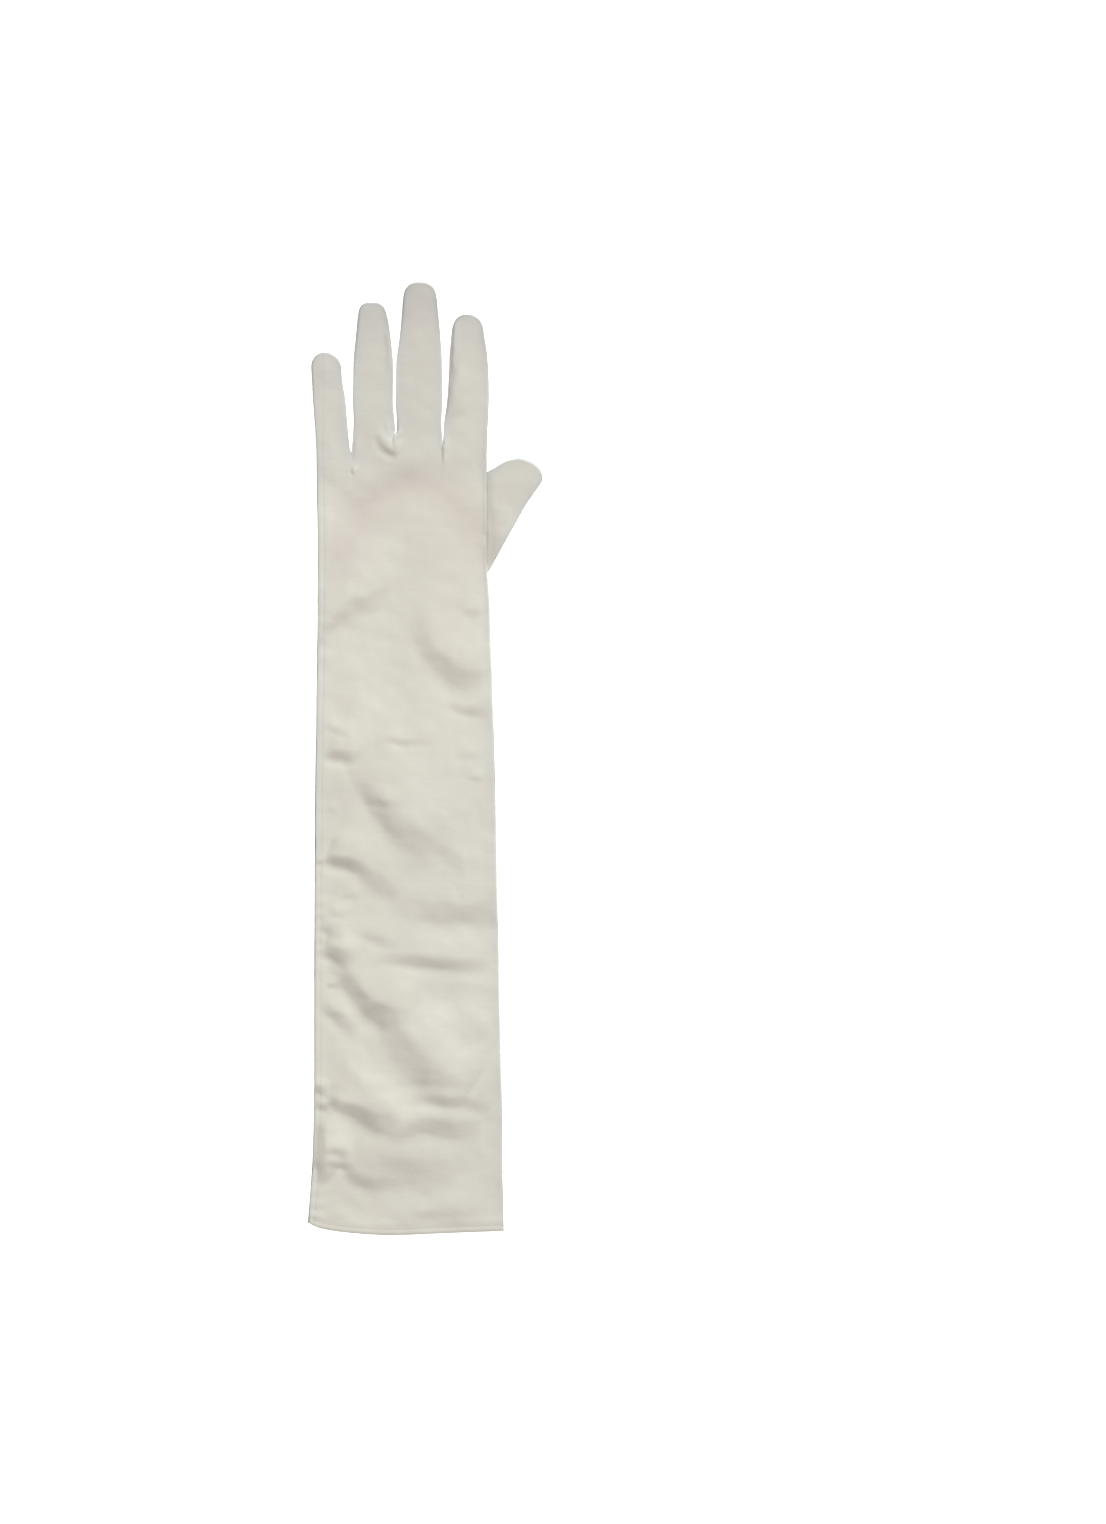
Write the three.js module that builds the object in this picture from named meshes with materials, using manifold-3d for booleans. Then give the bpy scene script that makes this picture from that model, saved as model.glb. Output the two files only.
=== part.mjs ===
// A long satin dress glove for the left hand, as it lies on a table with its back up.
// Lengths are in millimetres. In the drawing tables x runs from the sleeve's centre line towards
// the thumb and y from the right end of the hem towards the fingertips; the exported group is then
// moved so that its origin is on the table, under the middle of the whole glove, with +Z up.
// The main piece is one cut of satin that makes the sleeve, both sides of the hand and both faces
// of the fingers. Three narrow strips form the facing sides of the fingers, and the thumb is a tube
// of its own that is set into a hole in the palm and lies under it. All of them are hollow.

import * as THREE from "three";
import Module from "manifold-3d";

const wasm = await Module();
wasm.setup();

const { lerp, smoothstep } = THREE.MathUtils;

// Cloth and seams
const WALL = 1; // thickness of the cloth
const SEAM_GAP = 0.3; // clearance between pieces that are sewn together
const HEM_TURNED = 0.5; // extra thickness of the cloth where the hem is turned in
const HEM_DEPTH = 7;

// How the flat glove swells between its side creases
const CREASE_HEIGHT = 3.5; // side creases above the table
const EDGE_ROUND = 8; // width over which the cloth turns from a crease to its flat face
const BACK_RISE = 5; // back of the hand above the side creases
const SLEEVE_CROWN = 3.6; // further rise to the middle of the sleeve and palm
const CROWN_REACH = 40;
const FINGER_WEB = 3; // half the height of the strips between the fingers, at their roots
const WEB_FADE = 26; // length of palm over which the strips' height fades out

// The thumb under the palm
const THUMB_TOP = 7.4;
const THUMB_CREASE = 3.2;
const THUMB_ROUND = 7.5;
const THUMB_ROOT = { x: 31, y: 353 }; // the point where its own drawing starts
const THUMB_TURN = THREE.MathUtils.degToRad(32); // from the fingers' direction towards +X
const PALM_LIFT = THUMB_TOP + 0.35; // palm over the thumb
const LIFT_REACH = 11; // width over which the palm comes down beside the thumb
const RAMP = { from: -17, to: 6 }; // where the palm rises over the thumb's root, along the thumb
const BACK_FOLLOWS = 0.42; // share of that lift that the back of the hand shows in its middle

// Side edges of the sleeve and hand
const SIDE_EDGES = [
  { y: 0, left: -52.3, right: 52.3 },
  { y: 16, left: -50.9, right: 51.9 },
  { y: 37, left: -49.4, right: 51.6 },
  { y: 58, left: -48.8, right: 51.4 },
  { y: 122, left: -48.5, right: 50.0 },
  { y: 217, left: -48.1, right: 48.2 },
  { y: 281, left: -47.3, right: 46.4 },
  { y: 334, left: -46.7, right: 44.7 },
  { y: 352, left: -46.6, right: 43.4 },
  { y: 411, left: -47.3, right: 43.2 },
];
const HEM_ENDS = { left: 4.2, right: -0.2 };
const HAND_TOP = 411; // side edges of the hand end here, level with the little finger's root

// Sag of the hem below the straight line between its ends, at a share of the width
const HEM_SAG = [
  { share: 0, drop: 0 },
  { share: 0.07, drop: 2.8 },
  { share: 0.19, drop: 4.3 },
  { share: 0.37, drop: 4.9 },
  { share: 0.68, drop: 2.7 },
  { share: 0.88, drop: 1.0 },
  { share: 1, drop: 0 },
];

// Points where the hand divides into fingers, from the little finger's outer side to the index's
const CORNERS = [
  { x: -47.3, y: 411.0 },
  { x: -28.6, y: 410.8 },
  { x: -5.1, y: 422.6 },
  { x: 19.6, y: 415.8 },
  { x: 43.2, y: 411.0 },
];

// Side edges of each finger; the last row is the tip's height, before the tip is rounded off
const FINGERS = [
  {
    name: "little",
    round: 9,
    blunt: 2.2,
    rows: [
      { y: 424, left: -48.0, right: -30.4 },
      { y: 440, left: -49.1, right: -32.0 },
      { y: 450.5, left: -49.7, right: -33.6 },
      { y: 465.2, left: -50.6, right: -34.6 },
    ],
  },
  {
    name: "ring",
    round: 7,
    blunt: 3,
    rows: [
      { y: 428, left: -28.1, right: -6.0 },
      { y: 440, left: -28.5, right: -6.8 },
      { y: 458.5, left: -27.5, right: -6.7 },
      { y: 474.4, left: -26.1, right: -8.1 },
      { y: 491.4, left: -24.6, right: -11.2 },
    ],
  },
  {
    name: "middle",
    round: 8.5,
    blunt: 2.6,
    rows: [
      { y: 428, left: -5.2, right: 19.0 },
      { y: 440, left: -5.6, right: 19.4 },
      { y: 458.5, left: -4.7, right: 19.3 },
      { y: 474.4, left: -2.8, right: 18.4 },
      { y: 490, left: -1.5, right: 16.9 },
      { y: 502.4, left: -0.7, right: 15.9 },
    ],
  },
  {
    name: "index",
    round: 8,
    blunt: 2.3,
    rows: [
      { y: 424, left: 19.9, right: 43.6 },
      { y: 440, left: 21.7, right: 44.3 },
      { y: 450.5, left: 22.9, right: 44.2 },
      { y: 463.8, left: 23.5, right: 43.4 },
      { y: 474.4, left: 24.5, right: 41.8 },
      { y: 485.2, left: 25.4, right: 40.3 },
    ],
  },
];

// Side edges of the thumb in its own drawing: y along the thumb from THUMB_ROOT, x across it
const THUMB = {
  tipX: 2.5,
  roundLeft: 20,
  roundRight: 7,
  rootRound: 12,
  rows: [
    { y: -16, left: -13.2, right: 13.0 },
    { y: 4, left: -14.5, right: 13.2 },
    { y: 23, left: -15.3, right: 12.4 },
    { y: 34, left: -15.5, right: 11.8 },
    { y: 45, left: -15.5, right: 11.3 },
    { y: 57, left: -15.5, right: 12.0 },
    { y: 64.7, left: -15.5, right: 12.2 },
  ],
};

// Main folds of the back: a valley of the given depth and width lies along a line of the given
// length that is turned from +X towards +Y, in degrees, with a soft ridge on either side
const FOLDS = [
  { name: "outer wrist", x: -30, y: 329, length: 34, turn: 26, width: 6, depth: 1.2 },
  { name: "thumb side of the wrist", x: 18.5, y: 305, length: 54, turn: -45, width: 6, depth: 1.8 },
  { name: "below the wrist", x: -34, y: 253.5, length: 24, turn: 0, width: 3.5, depth: 1.4 },
  { name: "upper forearm", x: -7, y: 222, length: 66, turn: -47, width: 6.5, depth: 2 },
  { name: "outer forearm", x: -26, y: 190, length: 46, turn: -33, width: 4.5, depth: 1.6 },
  { name: "inner forearm", x: 30, y: 167.5, length: 34, turn: -3, width: 6, depth: 1.2 },
  { name: "level crease", x: 13, y: 142, length: 50, turn: -6, width: 4, depth: 1.6 },
  { name: "long diagonal", x: -9, y: 111, length: 96, turn: -47, width: 6, depth: 2.2 },
  { name: "above the hem", x: -4, y: 60, length: 76, turn: -14, width: 4.5, depth: 1.9 },
  { name: "outer hem", x: -25, y: 31, length: 34, turn: -40, width: 4.5, depth: 1.4 },
];
const RIDGE_SHARE = 0.45; // height of the ridges beside a valley, as a share of its depth

// Fineness of the faceted surfaces
const HAND_ROWS = [
  { from: 0, to: 0.017, rows: 2 },
  { from: 0.017, to: 0.78, rows: 52 },
  { from: 0.78, to: 1, rows: 17 },
];
const PALM_SKIPS = 4; // in the sleeve, only every fourth row runs across the flat side on the table
const THUMB_ROWS = 13;
const BACK_COLUMNS = [0, 0.1, 0.33, 0.67, 0.9, 1];
const PALM_COLUMNS = [0, 0.12, 0.5, 0.88, 1];
const COLUMNS_GATHER = 0.78; // share of the length where the columns start to gather to the fingers
const THUMB_COLUMNS = [0, 0.05, 0.18, 0.38, 0.62, 0.82, 0.95, 1];
const STRIP_END = 0.87; // share of a finger's length that the strip between two fingers covers
const STRIP_GAP = 0.005; // share of a finger's length that is left open past the end of its strip
const FINGER_CLIMBS = [0, 0.09, 0.2, 0.34, 0.5, 0.64, 0.77, STRIP_END, STRIP_END + STRIP_GAP, 0.94, 0.98, 1];
const CORNER_BEND = 6; // power that keeps the rows level until close to the fingers

const SATIN = { color: 0xdbd7cb, roughness: 0.42, metalness: 0, side: THREE.DoubleSide };

// Smooth curve through a table's rows that never overshoots: value as a function of at
function curveThrough(rows, at, value) {
  const u = rows.map((row) => row[at]);
  const v = rows.map((row) => row[value]);
  const rise = u.slice(1).map((next, i) => (v[i + 1] - v[i]) / (next - u[i]));
  const slope = u.map((_, i) => {
    if (i === 0) return rise[0];
    if (i === u.length - 1) return rise[i - 1];
    const [a, b] = [rise[i - 1], rise[i]];
    return a * b <= 0 ? 0 : (2 * a * b) / (a + b);
  });
  return (wanted) => {
    const p = THREE.MathUtils.clamp(wanted, u[0], u[u.length - 1]);
    const i = Math.max(0, Math.min(u.length - 2, u.findIndex((end) => end >= p) - 1));
    const span = u[i + 1] - u[i];
    const t = (p - u[i]) / span;
    const start = (1 + 2 * t) * (1 - t) ** 2 * v[i] + t * (1 - t) ** 2 * span * slope[i];
    const end = t * t * (3 - 2 * t) * v[i + 1] - t * t * (1 - t) * span * slope[i + 1];
    return start + end;
  };
}

// Round shoulder: 0 at a crease, 1 from u = 1 on, as a quarter of an ellipse
function shoulder(u) {
  const rest = 1 - Math.min(Math.max(u, 0), 1);
  return Math.sqrt(1 - rest * rest);
}

// Half width left at a share q of the way through a rounded end: a superellipse
function roundedEnd(q, power) {
  return Math.pow(Math.max(0, 1 - Math.pow(Math.min(Math.max(q, 0), 1), power)), 1 / power);
}

// Side edges of a finger, from its two corners of the hand to its tip
function fingerEdges(finger, cornerLeft, cornerRight) {
  const tip = finger.rows[finger.rows.length - 1];
  const tipX = (tip.left + tip.right) / 2;
  const plain = {
    left: curveThrough([{ y: cornerLeft.y, left: cornerLeft.x }, ...finger.rows], "y", "left"),
    right: curveThrough([{ y: cornerRight.y, right: cornerRight.x }, ...finger.rows], "y", "right"),
  };
  const edge = (side) => (y) => {
    const q = (y - (tip.y - finger.round)) / finger.round;
    return tipX + (plain[side](y) - tipX) * roundedEnd(q, finger.blunt);
  };
  return { left: edge("left"), right: edge("right"), tipY: tip.y, cornerLeft, cornerRight };
}

// Side edges of the thumb in its own drawing
function thumbEdges() {
  const { rows, tipX, rootRound } = THUMB;
  const [root, tip] = [rows[0], rows[rows.length - 1]];
  const edge = (side, round) => {
    const plain = curveThrough(rows, "y", side);
    return (y) => {
      const centre = lerp(0, tipX, (y - root.y) / (tip.y - root.y));
      const tipShare = roundedEnd((y - (tip.y - round)) / round, 2);
      const rootShare = roundedEnd((root.y + rootRound - y) / rootRound, 2);
      return centre + (plain(y) - centre) * tipShare * rootShare;
    };
  };
  return {
    left: edge("left", THUMB.roundLeft),
    right: edge("right", THUMB.roundRight),
    from: root.y,
    to: tip.y,
  };
}

const sideLeft = curveThrough(SIDE_EDGES, "y", "left");
const sideRight = curveThrough(SIDE_EDGES, "y", "right");
const hemDrop = curveThrough(HEM_SAG, "share", "drop");
const fingers = FINGERS.map((finger, i) => fingerEdges(finger, CORNERS[i], CORNERS[i + 1]));
const thumb = thumbEdges();

const handWidth = CORNERS[4].x - CORNERS[0].x;
const cornerShares = CORNERS.map((corner) => (corner.x - CORNERS[0].x) / handWidth);

// Points along a line of the drawing, as [x, y]
function sampled(count, pointAt) {
  return Array.from({ length: count + 1 }, (_, i) => pointAt(i / count));
}

// One finger's outline, up its left edge and down its right, with close points round the tip
function fingerOutline(finger) {
  const climb = (t) => Math.sin((t * Math.PI) / 2);
  const up = sampled(28, (t) => {
    const y = lerp(finger.cornerLeft.y, finger.tipY, climb(t));
    return [finger.left(y), y];
  });
  const down = sampled(28, (t) => {
    const y = lerp(finger.cornerRight.y, finger.tipY, climb(1 - t));
    return [finger.right(y), y];
  });
  return [...up, ...down];
}

// The whole outline from the hem's left end round the fingertips to its right end. It runs on
// past the hem, so that the open mouth doesn't count as an edge.
const PAST_HEM = 60;
const gloveOutline = [
  [sideLeft(0), -PAST_HEM],
  ...sampled(40, (t) => [sideLeft(lerp(0, HAND_TOP, t)), lerp(0, HAND_TOP, t)]),
  ...fingers.flatMap(fingerOutline),
  ...sampled(40, (t) => [sideRight(lerp(HAND_TOP, 0, t)), lerp(HAND_TOP, 0, t)]),
  [sideRight(0), -PAST_HEM],
];

const thumbOutline = [
  ...sampled(40, (t) => {
    const y = lerp(thumb.from, thumb.to, (1 - Math.cos(t * Math.PI)) / 2);
    return [thumb.left(y), y];
  }),
  ...sampled(40, (t) => {
    const y = lerp(thumb.to, thumb.from, (1 - Math.cos(t * Math.PI)) / 2);
    return [thumb.right(y), y];
  }),
];

// Distance from a point to a broken line
function distanceTo(line, x, y) {
  let nearest = Infinity;
  for (let i = 0; i + 1 < line.length; i++) {
    const [ax, ay] = line[i];
    const [bx, by] = line[i + 1];
    const span = (bx - ax) ** 2 + (by - ay) ** 2 || 1;
    const t = THREE.MathUtils.clamp(((x - ax) * (bx - ax) + (y - ay) * (by - ay)) / span, 0, 1);
    nearest = Math.min(nearest, Math.hypot(x - lerp(ax, bx, t), y - lerp(ay, by, t)));
  }
  return nearest;
}

// A point of the hand's drawing in the thumb's own drawing
function inThumbDrawing(x, y) {
  const [dx, dy] = [x - THUMB_ROOT.x, y - THUMB_ROOT.y];
  const [cos, sin] = [Math.cos(THUMB_TURN), Math.sin(THUMB_TURN)];
  return { x: dx * cos - dy * sin, y: dx * sin + dy * cos };
}

// How far the thumb lifts the palm above the table
function thumbLift(x, y) {
  const p = inThumbDrawing(x, y);
  const inside = p.y > thumb.from && p.y < thumb.to && p.x > thumb.left(p.y) && p.x < thumb.right(p.y);
  const beside = inside ? 0 : distanceTo(thumbOutline, p.x, p.y);
  const along = smoothstep(p.y, RAMP.from, RAMP.to);
  return PALM_LIFT * along * (1 - smoothstep(beside, 0, LIFT_REACH));
}

// Height that the folds add to the back
function foldHeight(x, y) {
  let height = 0;
  for (const fold of FOLDS) {
    const turn = THREE.MathUtils.degToRad(fold.turn);
    const along = (x - fold.x) * Math.cos(turn) + (y - fold.y) * Math.sin(turn);
    const across = (y - fold.y) * Math.cos(turn) - (x - fold.x) * Math.sin(turn);
    const u = (2 * along) / fold.length;
    if (Math.abs(u) >= 1) continue;
    const v = across / fold.width;
    const ends = (1 - u * u) ** 2;
    const valley = -Math.exp(-v * v);
    const ridges = RIDGE_SHARE * (Math.exp(-((v - 1.8) ** 2)) + Math.exp(-((v + 1.8) ** 2)));
    height += fold.depth * ends * (valley + ridges);
  }
  return height;
}

// Heights of the two layers of cloth over a point of the drawing; web is half the height of the
// strip between the fingers there, and a point of the outline itself is onEdge
function layers(x, y, web, onEdge) {
  const inward = onEdge ? 0 : distanceTo(gloveOutline, x, y);
  const puff = shoulder(inward / EDGE_ROUND);
  const lift = thumbLift(x, y);
  const follow = lerp(1, BACK_FOLLOWS, smoothstep(inward, 0, 2 * EDGE_ROUND));
  const crown = SLEEVE_CROWN * smoothstep(inward, 0, CROWN_REACH);
  const swell = web + (BACK_RISE - web) * puff + crown + foldHeight(x, y) * puff;
  return {
    back: CREASE_HEIGHT + lift * follow + swell,
    palm: CREASE_HEIGHT + lift - web - (CREASE_HEIGHT - web) * puff,
  };
}

// A surface of faces that share their points and are grouped by piece
class Skin {
  points = [];
  faces = [];
  #seen = new Map();

  point(x, y, z) {
    const key = [x, y, z].map((value) => Math.round(value * 1e3)).join();
    if (!this.#seen.has(key)) {
      this.#seen.set(key, this.points.length);
      this.points.push(new THREE.Vector3(x, y, z));
    }
    return this.#seen.get(key);
  }

  // Corners run anticlockwise, seen from outside, and one of more than four is a fan from its first
  face(piece, ...corners) {
    const kept = corners.filter((id, i) => id !== corners[(i + 1) % corners.length]);
    if (kept.length > 2) this.faces.push({ piece, corners: kept });
  }

  // Faces between two rows of points; the second row lies to the left of the first, seen from outside
  band(piece, first, second) {
    for (let i = 0; i + 1 < first.length; i++) {
      this.face(piece, first[i], first[i + 1], second[i + 1], second[i]);
    }
  }

  // Unit vector out of the cloth at each point, averaged over the faces that meet there. Along a
  // seam it is level, so that the two pieces beside the seam keep their distance all through.
  normals() {
    const sums = this.points.map(() => new THREE.Vector3());
    for (const [a, b, c] of this.triangles(this.faces.filter((face) => face.piece !== "mouth"))) {
      const [p, q, r] = [a, b, c].map((id) => this.points[id]);
      const area = q.clone().sub(p).cross(r.clone().sub(p));
      for (const id of [a, b, c]) sums[id].add(area);
    }
    for (const { piece, corners } of this.faces) {
      if (piece === "seam") corners.forEach((id) => sums[id].setZ(0));
    }
    return sums.map((sum) => sum.normalize());
  }

  // A four-sided face is parted along its shorter diagonal
  triangles(faces) {
    return faces.flatMap(({ corners }) => {
      const [a, b, c, d] = corners.map((id) => this.points[id]);
      const turned = corners.length === 4 && b.distanceTo(d) < a.distanceTo(c);
      const [first, ...rest] = turned ? [...corners.slice(1), corners[0]] : corners;
      return rest.slice(1).map((corner, i) => [first, rest[i], corner]);
    });
  }

  // Closed solid between two offsets of some faces: outside along the normals, and inside against
  // them. Without an inside it is the solid that the faces themselves enclose.
  solid(faces, outside, inside) {
    const normals = this.normals();
    const count = this.points.length;
    const at = (id, offset) => this.points[id].clone().addScaledVector(normals[id], offset);
    const positions = this.points.map((_, id) => at(id, outside));
    const triangles = this.triangles(faces);
    if (inside !== undefined) {
      positions.push(...this.points.map((_, id) => at(id, -inside(this.points[id]))));
      const rim = openEdges(triangles).flatMap(([a, b]) => [
        [b, a, a + count],
        [b, a + count, b + count],
      ]);
      const lining = triangles.map(([a, b, c]) => [c + count, b + count, a + count]);
      triangles.push(...rim, ...lining);
    }
    return manifoldOf(positions, triangles);
  }
}

// Edges that only one triangle uses, in the direction in which it runs along them
function openEdges(triangles) {
  const edges = new Map();
  for (const triangle of triangles) {
    triangle.forEach((a, i) => {
      const b = triangle[(i + 1) % 3];
      if (!edges.delete(`${b},${a}`)) edges.set(`${a},${b}`, [a, b]);
    });
  }
  return [...edges.values()];
}

function manifoldOf(points, triangles) {
  const used = [...new Set(triangles.flat())];
  const renumbered = new Map(used.map((id, i) => [id, i]));
  return new wasm.Manifold(
    new wasm.Mesh({
      numProp: 3,
      vertProperties: Float32Array.from(used.flatMap((id) => points[id].toArray())),
      triVerts: Uint32Array.from(triangles.flat().map((id) => renumbered.get(id))),
    }),
  );
}

// Point of the drawing in the sleeve and hand: share runs across from left to right and rise from
// the hem, 0, to the roots of the fingers, 1
function handPoint(share, rise) {
  const [leftY, rightY] = [lerp(HEM_ENDS.left, HAND_TOP, rise), lerp(HEM_ENDS.right, HAND_TOP, rise)];
  const strip = Math.min(3, cornerShares.findIndex((end, i) => i > 0 && share <= end + 1e-9) - 1);
  const within = (share - cornerShares[strip]) / (cornerShares[strip + 1] - cornerShares[strip]);
  const cornerRise = lerp(CORNERS[strip].y, CORNERS[strip + 1].y, within) - HAND_TOP;
  return {
    x: lerp(sideLeft(leftY), sideRight(rightY), share),
    y: lerp(leftY, rightY, share) - hemDrop(share) * (1 - rise) ** 12 + cornerRise * rise ** CORNER_BEND,
  };
}

// Height of the strips between the fingers, carried on into the palm and faded out
function palmWeb(share, rise) {
  const fade = smoothstep(rise, 1 - WEB_FADE / HAND_TOP, 1);
  const strip = Math.min(3, cornerShares.findIndex((end, i) => i > 0 && share <= end + 1e-9) - 1);
  const within = (share - cornerShares[strip]) / (cornerShares[strip + 1] - cornerShares[strip]);
  const [from, to] = [strip > 0 ? FINGER_WEB : 0, strip < 3 ? FINGER_WEB : 0];
  return fade * lerp(from, to, within);
}

// Adds the two layers of one row of the sleeve and hand, and returns the points of both. The
// columns run close together along the sides of the sleeve, and of each finger at its root.
function handRow(skin, strip, rise) {
  const atRoot = smoothstep(rise, COLUMNS_GATHER, 1);
  const row = (columns, layer) =>
    columns.map((column, i) => {
      const across = (strip + i / (columns.length - 1)) / 4;
      const inSleeve = lerp(across, (1 - Math.cos(across * Math.PI)) / 2, 0.5);
      const share = lerp(inSleeve, lerp(cornerShares[strip], cornerShares[strip + 1], column), atRoot);
      const p = handPoint(share, rise);
      const onSide = across === 0 || across === 1 || (rise === 1 && (column === 0 || column === 1));
      return skin.point(p.x, p.y, layers(p.x, p.y, palmWeb(share, rise), onSide)[layer]);
    });
  return { back: row(BACK_COLUMNS, "back"), palm: row(PALM_COLUMNS, "palm") };
}

// One row across a finger, and the heights of its two sides from the back's edge to the palm's:
// the strip between two fingers lies between the two middle points of a side
function fingerRow(skin, strip, climb) {
  const finger = fingers[strip];
  const [leftY, rightY] = [
    lerp(finger.cornerLeft.y, finger.tipY, climb),
    lerp(finger.cornerRight.y, finger.tipY, climb),
  ];
  const [leftX, rightX] = [finger.left(leftY), finger.right(rightY)];
  const web = FINGER_WEB * Math.sqrt(1 - climb ** 4);
  const [leftWeb, rightWeb] = [strip > 0 ? web : 0, strip < 3 ? web : 0];
  const row = (columns, layer) =>
    columns.map((column) => {
      const [x, y] = [lerp(leftX, rightX, column), lerp(leftY, rightY, column)];
      const onEdge = column === 0 || column === 1 || climb === 1;
      return skin.point(x, y, layers(x, y, lerp(leftWeb, rightWeb, column), onEdge)[layer]);
    });
  const side = (x, y, half) => {
    const gap = Math.min(SEAM_GAP, half / 4);
    const base = CREASE_HEIGHT + thumbLift(x, y);
    return [half, half - gap, gap - half, -half].map((z) => skin.point(x, y, base + z));
  };
  return {
    back: row(BACK_COLUMNS, "back"),
    palm: row(PALM_COLUMNS, "palm"),
    left: side(leftX, leftY, leftWeb),
    right: side(rightX, rightY, rightWeb),
    climb,
  };
}

// Faces between two rows of a finger or of the hand. Strip numbers name the pieces between fingers.
function joinRows(skin, low, high) {
  skin.band("body", low.back, high.back);
  skin.band("body", high.palm, low.palm);
}

function joinSides(skin, strip, low, high) {
  const pieces = (between) => {
    if (high.climb <= STRIP_END) return ["seam", between, "seam"];
    return low.climb === STRIP_END ? ["seam", "seam", "seam"] : ["body", "body", "body"];
  };
  pieces(strip - 1).forEach((piece, i) => {
    if (strip > 0) skin.face(piece, low.left[i], high.left[i], high.left[i + 1], low.left[i + 1]);
  });
  pieces(strip).forEach((piece, i) => {
    if (strip < 3) skin.face(piece, high.right[i], low.right[i], low.right[i + 1], high.right[i + 1]);
  });
}

// Faces of the palm's layer from one row of a strip to a later one. Every row's points along the
// side of the glove are kept, so that they meet the back's.
function joinPalm(skin, strip, rows) {
  const [low, high] = [rows[0].palm, rows[rows.length - 1].palm];
  const between = rows.slice(1, -1);
  const last = low.length - 2;
  for (let i = 0; i <= last; i++) {
    const leftSide = strip === 0 && i === 0 ? between.map((row) => row.palm[0]) : [];
    const rightSide = strip === 3 && i === last ? between.map((row) => row.palm[last + 1]) : [];
    const corners = [high[i + 1], ...rightSide.toReversed(), low[i + 1], low[i], ...leftSide, high[i]];
    if (rightSide.length) corners.unshift(corners.pop());
    skin.face("body", ...corners);
  }
}

function gloveSkin() {
  const skin = new Skin();
  const rises = HAND_ROWS.flatMap(({ from, to, rows }) =>
    sampled(rows, (t) => lerp(from, to, t)).slice(from > 0 ? 1 : 0),
  );
  const whole = rises.map((rise, i) => rise >= COLUMNS_GATHER - 0.05 || i % PALM_SKIPS === 0);
  for (let strip = 0; strip < 4; strip++) {
    const handRows = rises.map((rise) => handRow(skin, strip, rise));
    let start = 0;
    handRows.forEach((high, i) => {
      if (i === 0) return;
      skin.band("body", handRows[i - 1].back, high.back);
      if (!whole[i]) return;
      joinPalm(skin, strip, handRows.slice(start, i + 1));
      start = i;
    });
    const fingerRows = FINGER_CLIMBS.map((climb) => fingerRow(skin, strip, climb));
    fingerRows.slice(1).forEach((high, i) => {
      joinRows(skin, fingerRows[i], high);
      joinSides(skin, strip, fingerRows[i], high);
    });
    const { back, palm } = handRows[0];
    const mouth = [...palm, ...back.toReversed()];
    mouth.slice(1, -1).forEach((point, i) => skin.face("mouth", mouth[0], point, mouth[i + 2]));
  }
  return skin;
}

// The thumb's closed surface, placed under the palm
function thumbSkin() {
  const skin = new Skin();
  const [cos, sin] = [Math.cos(THUMB_TURN), Math.sin(THUMB_TURN)];
  const rows = sampled(THUMB_ROWS, (t) => {
    const y = lerp(thumb.from, thumb.to, (1 - Math.cos(t * Math.PI)) / 2);
    const [left, right] = [thumb.left(y), thumb.right(y)];
    const row = (height) =>
      THUMB_COLUMNS.map((column) => {
        const x = lerp(left, right, column);
        const onEdge = column === 0 || column === 1 || left === right;
        const puff = onEdge ? 0 : shoulder(distanceTo(thumbOutline, x, y) / THUMB_ROUND);
        const place = { x: THUMB_ROOT.x + x * cos + y * sin, y: THUMB_ROOT.y + y * cos - x * sin };
        return skin.point(place.x, place.y, lerp(THUMB_CREASE, height, puff));
      });
    return { back: row(THUMB_TOP), palm: row(0) };
  });
  rows.slice(1).forEach((high, i) => joinRows(skin, rows[i], high));
  return skin;
}

// The pieces
const glove = gloveSkin();
const cloth = (piece) => glove.faces.filter((face) => face.piece === piece);
const wallAt = (p) => WALL + HEM_TURNED * (1 - smoothstep(p.y, HEM_DEPTH - 3, HEM_DEPTH));

const thumbTube = thumbSkin();
const thumbRoom = thumbTube.solid(thumbTube.faces, -WALL);
const thumbOutside = thumbTube.solid(thumbTube.faces, 0);
const gloveWithSeam = glove.solid(glove.faces, SEAM_GAP);

const bodySolid = glove.solid(cloth("body"), 0, wallAt).subtract(thumbRoom);
const thumbSolid = thumbOutside.subtract(thumbRoom).subtract(gloveWithSeam);
const STRIP_NAMES = ["fourchette_little_ring", "fourchette_ring_middle", "fourchette_middle_index"];
const stripSolids = STRIP_NAMES.map((_, between) => glove.solid(cloth(between), 0, wallAt));

// The largest body of a solid, which drops any sliver that a cut leaves loose
function mainBody(solid) {
  return solid.decompose().reduce((best, body) => (body.volume() > best.volume() ? body : best));
}

function meshOf(name, solid) {
  const { vertProperties, triVerts, numProp } = mainBody(solid).getMesh();
  const positions = new Float32Array((vertProperties.length / numProp) * 3);
  for (let i = 0; i < positions.length / 3; i++) {
    positions.set(vertProperties.subarray(i * numProp, i * numProp + 3), i * 3);
  }
  const geometry = new THREE.BufferGeometry();
  geometry.setAttribute("position", new THREE.BufferAttribute(positions, 3));
  geometry.setIndex(new THREE.BufferAttribute(Uint32Array.from(triVerts), 1));
  geometry.computeVertexNormals();
  const mesh = new THREE.Mesh(geometry, new THREE.MeshStandardMaterial(SATIN));
  mesh.name = name;
  return mesh;
}

const group = new THREE.Group();
group.add(meshOf("glove_body", bodySolid));
stripSolids.forEach((solid, i) => group.add(meshOf(STRIP_NAMES[i], solid)));
group.add(meshOf("thumb", thumbSolid));

const bounds = new THREE.Box3().setFromObject(group);
const middle = bounds.getCenter(new THREE.Vector3());
group.position.set(-middle.x, -middle.y, -bounds.min.z);

export default group;
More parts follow.
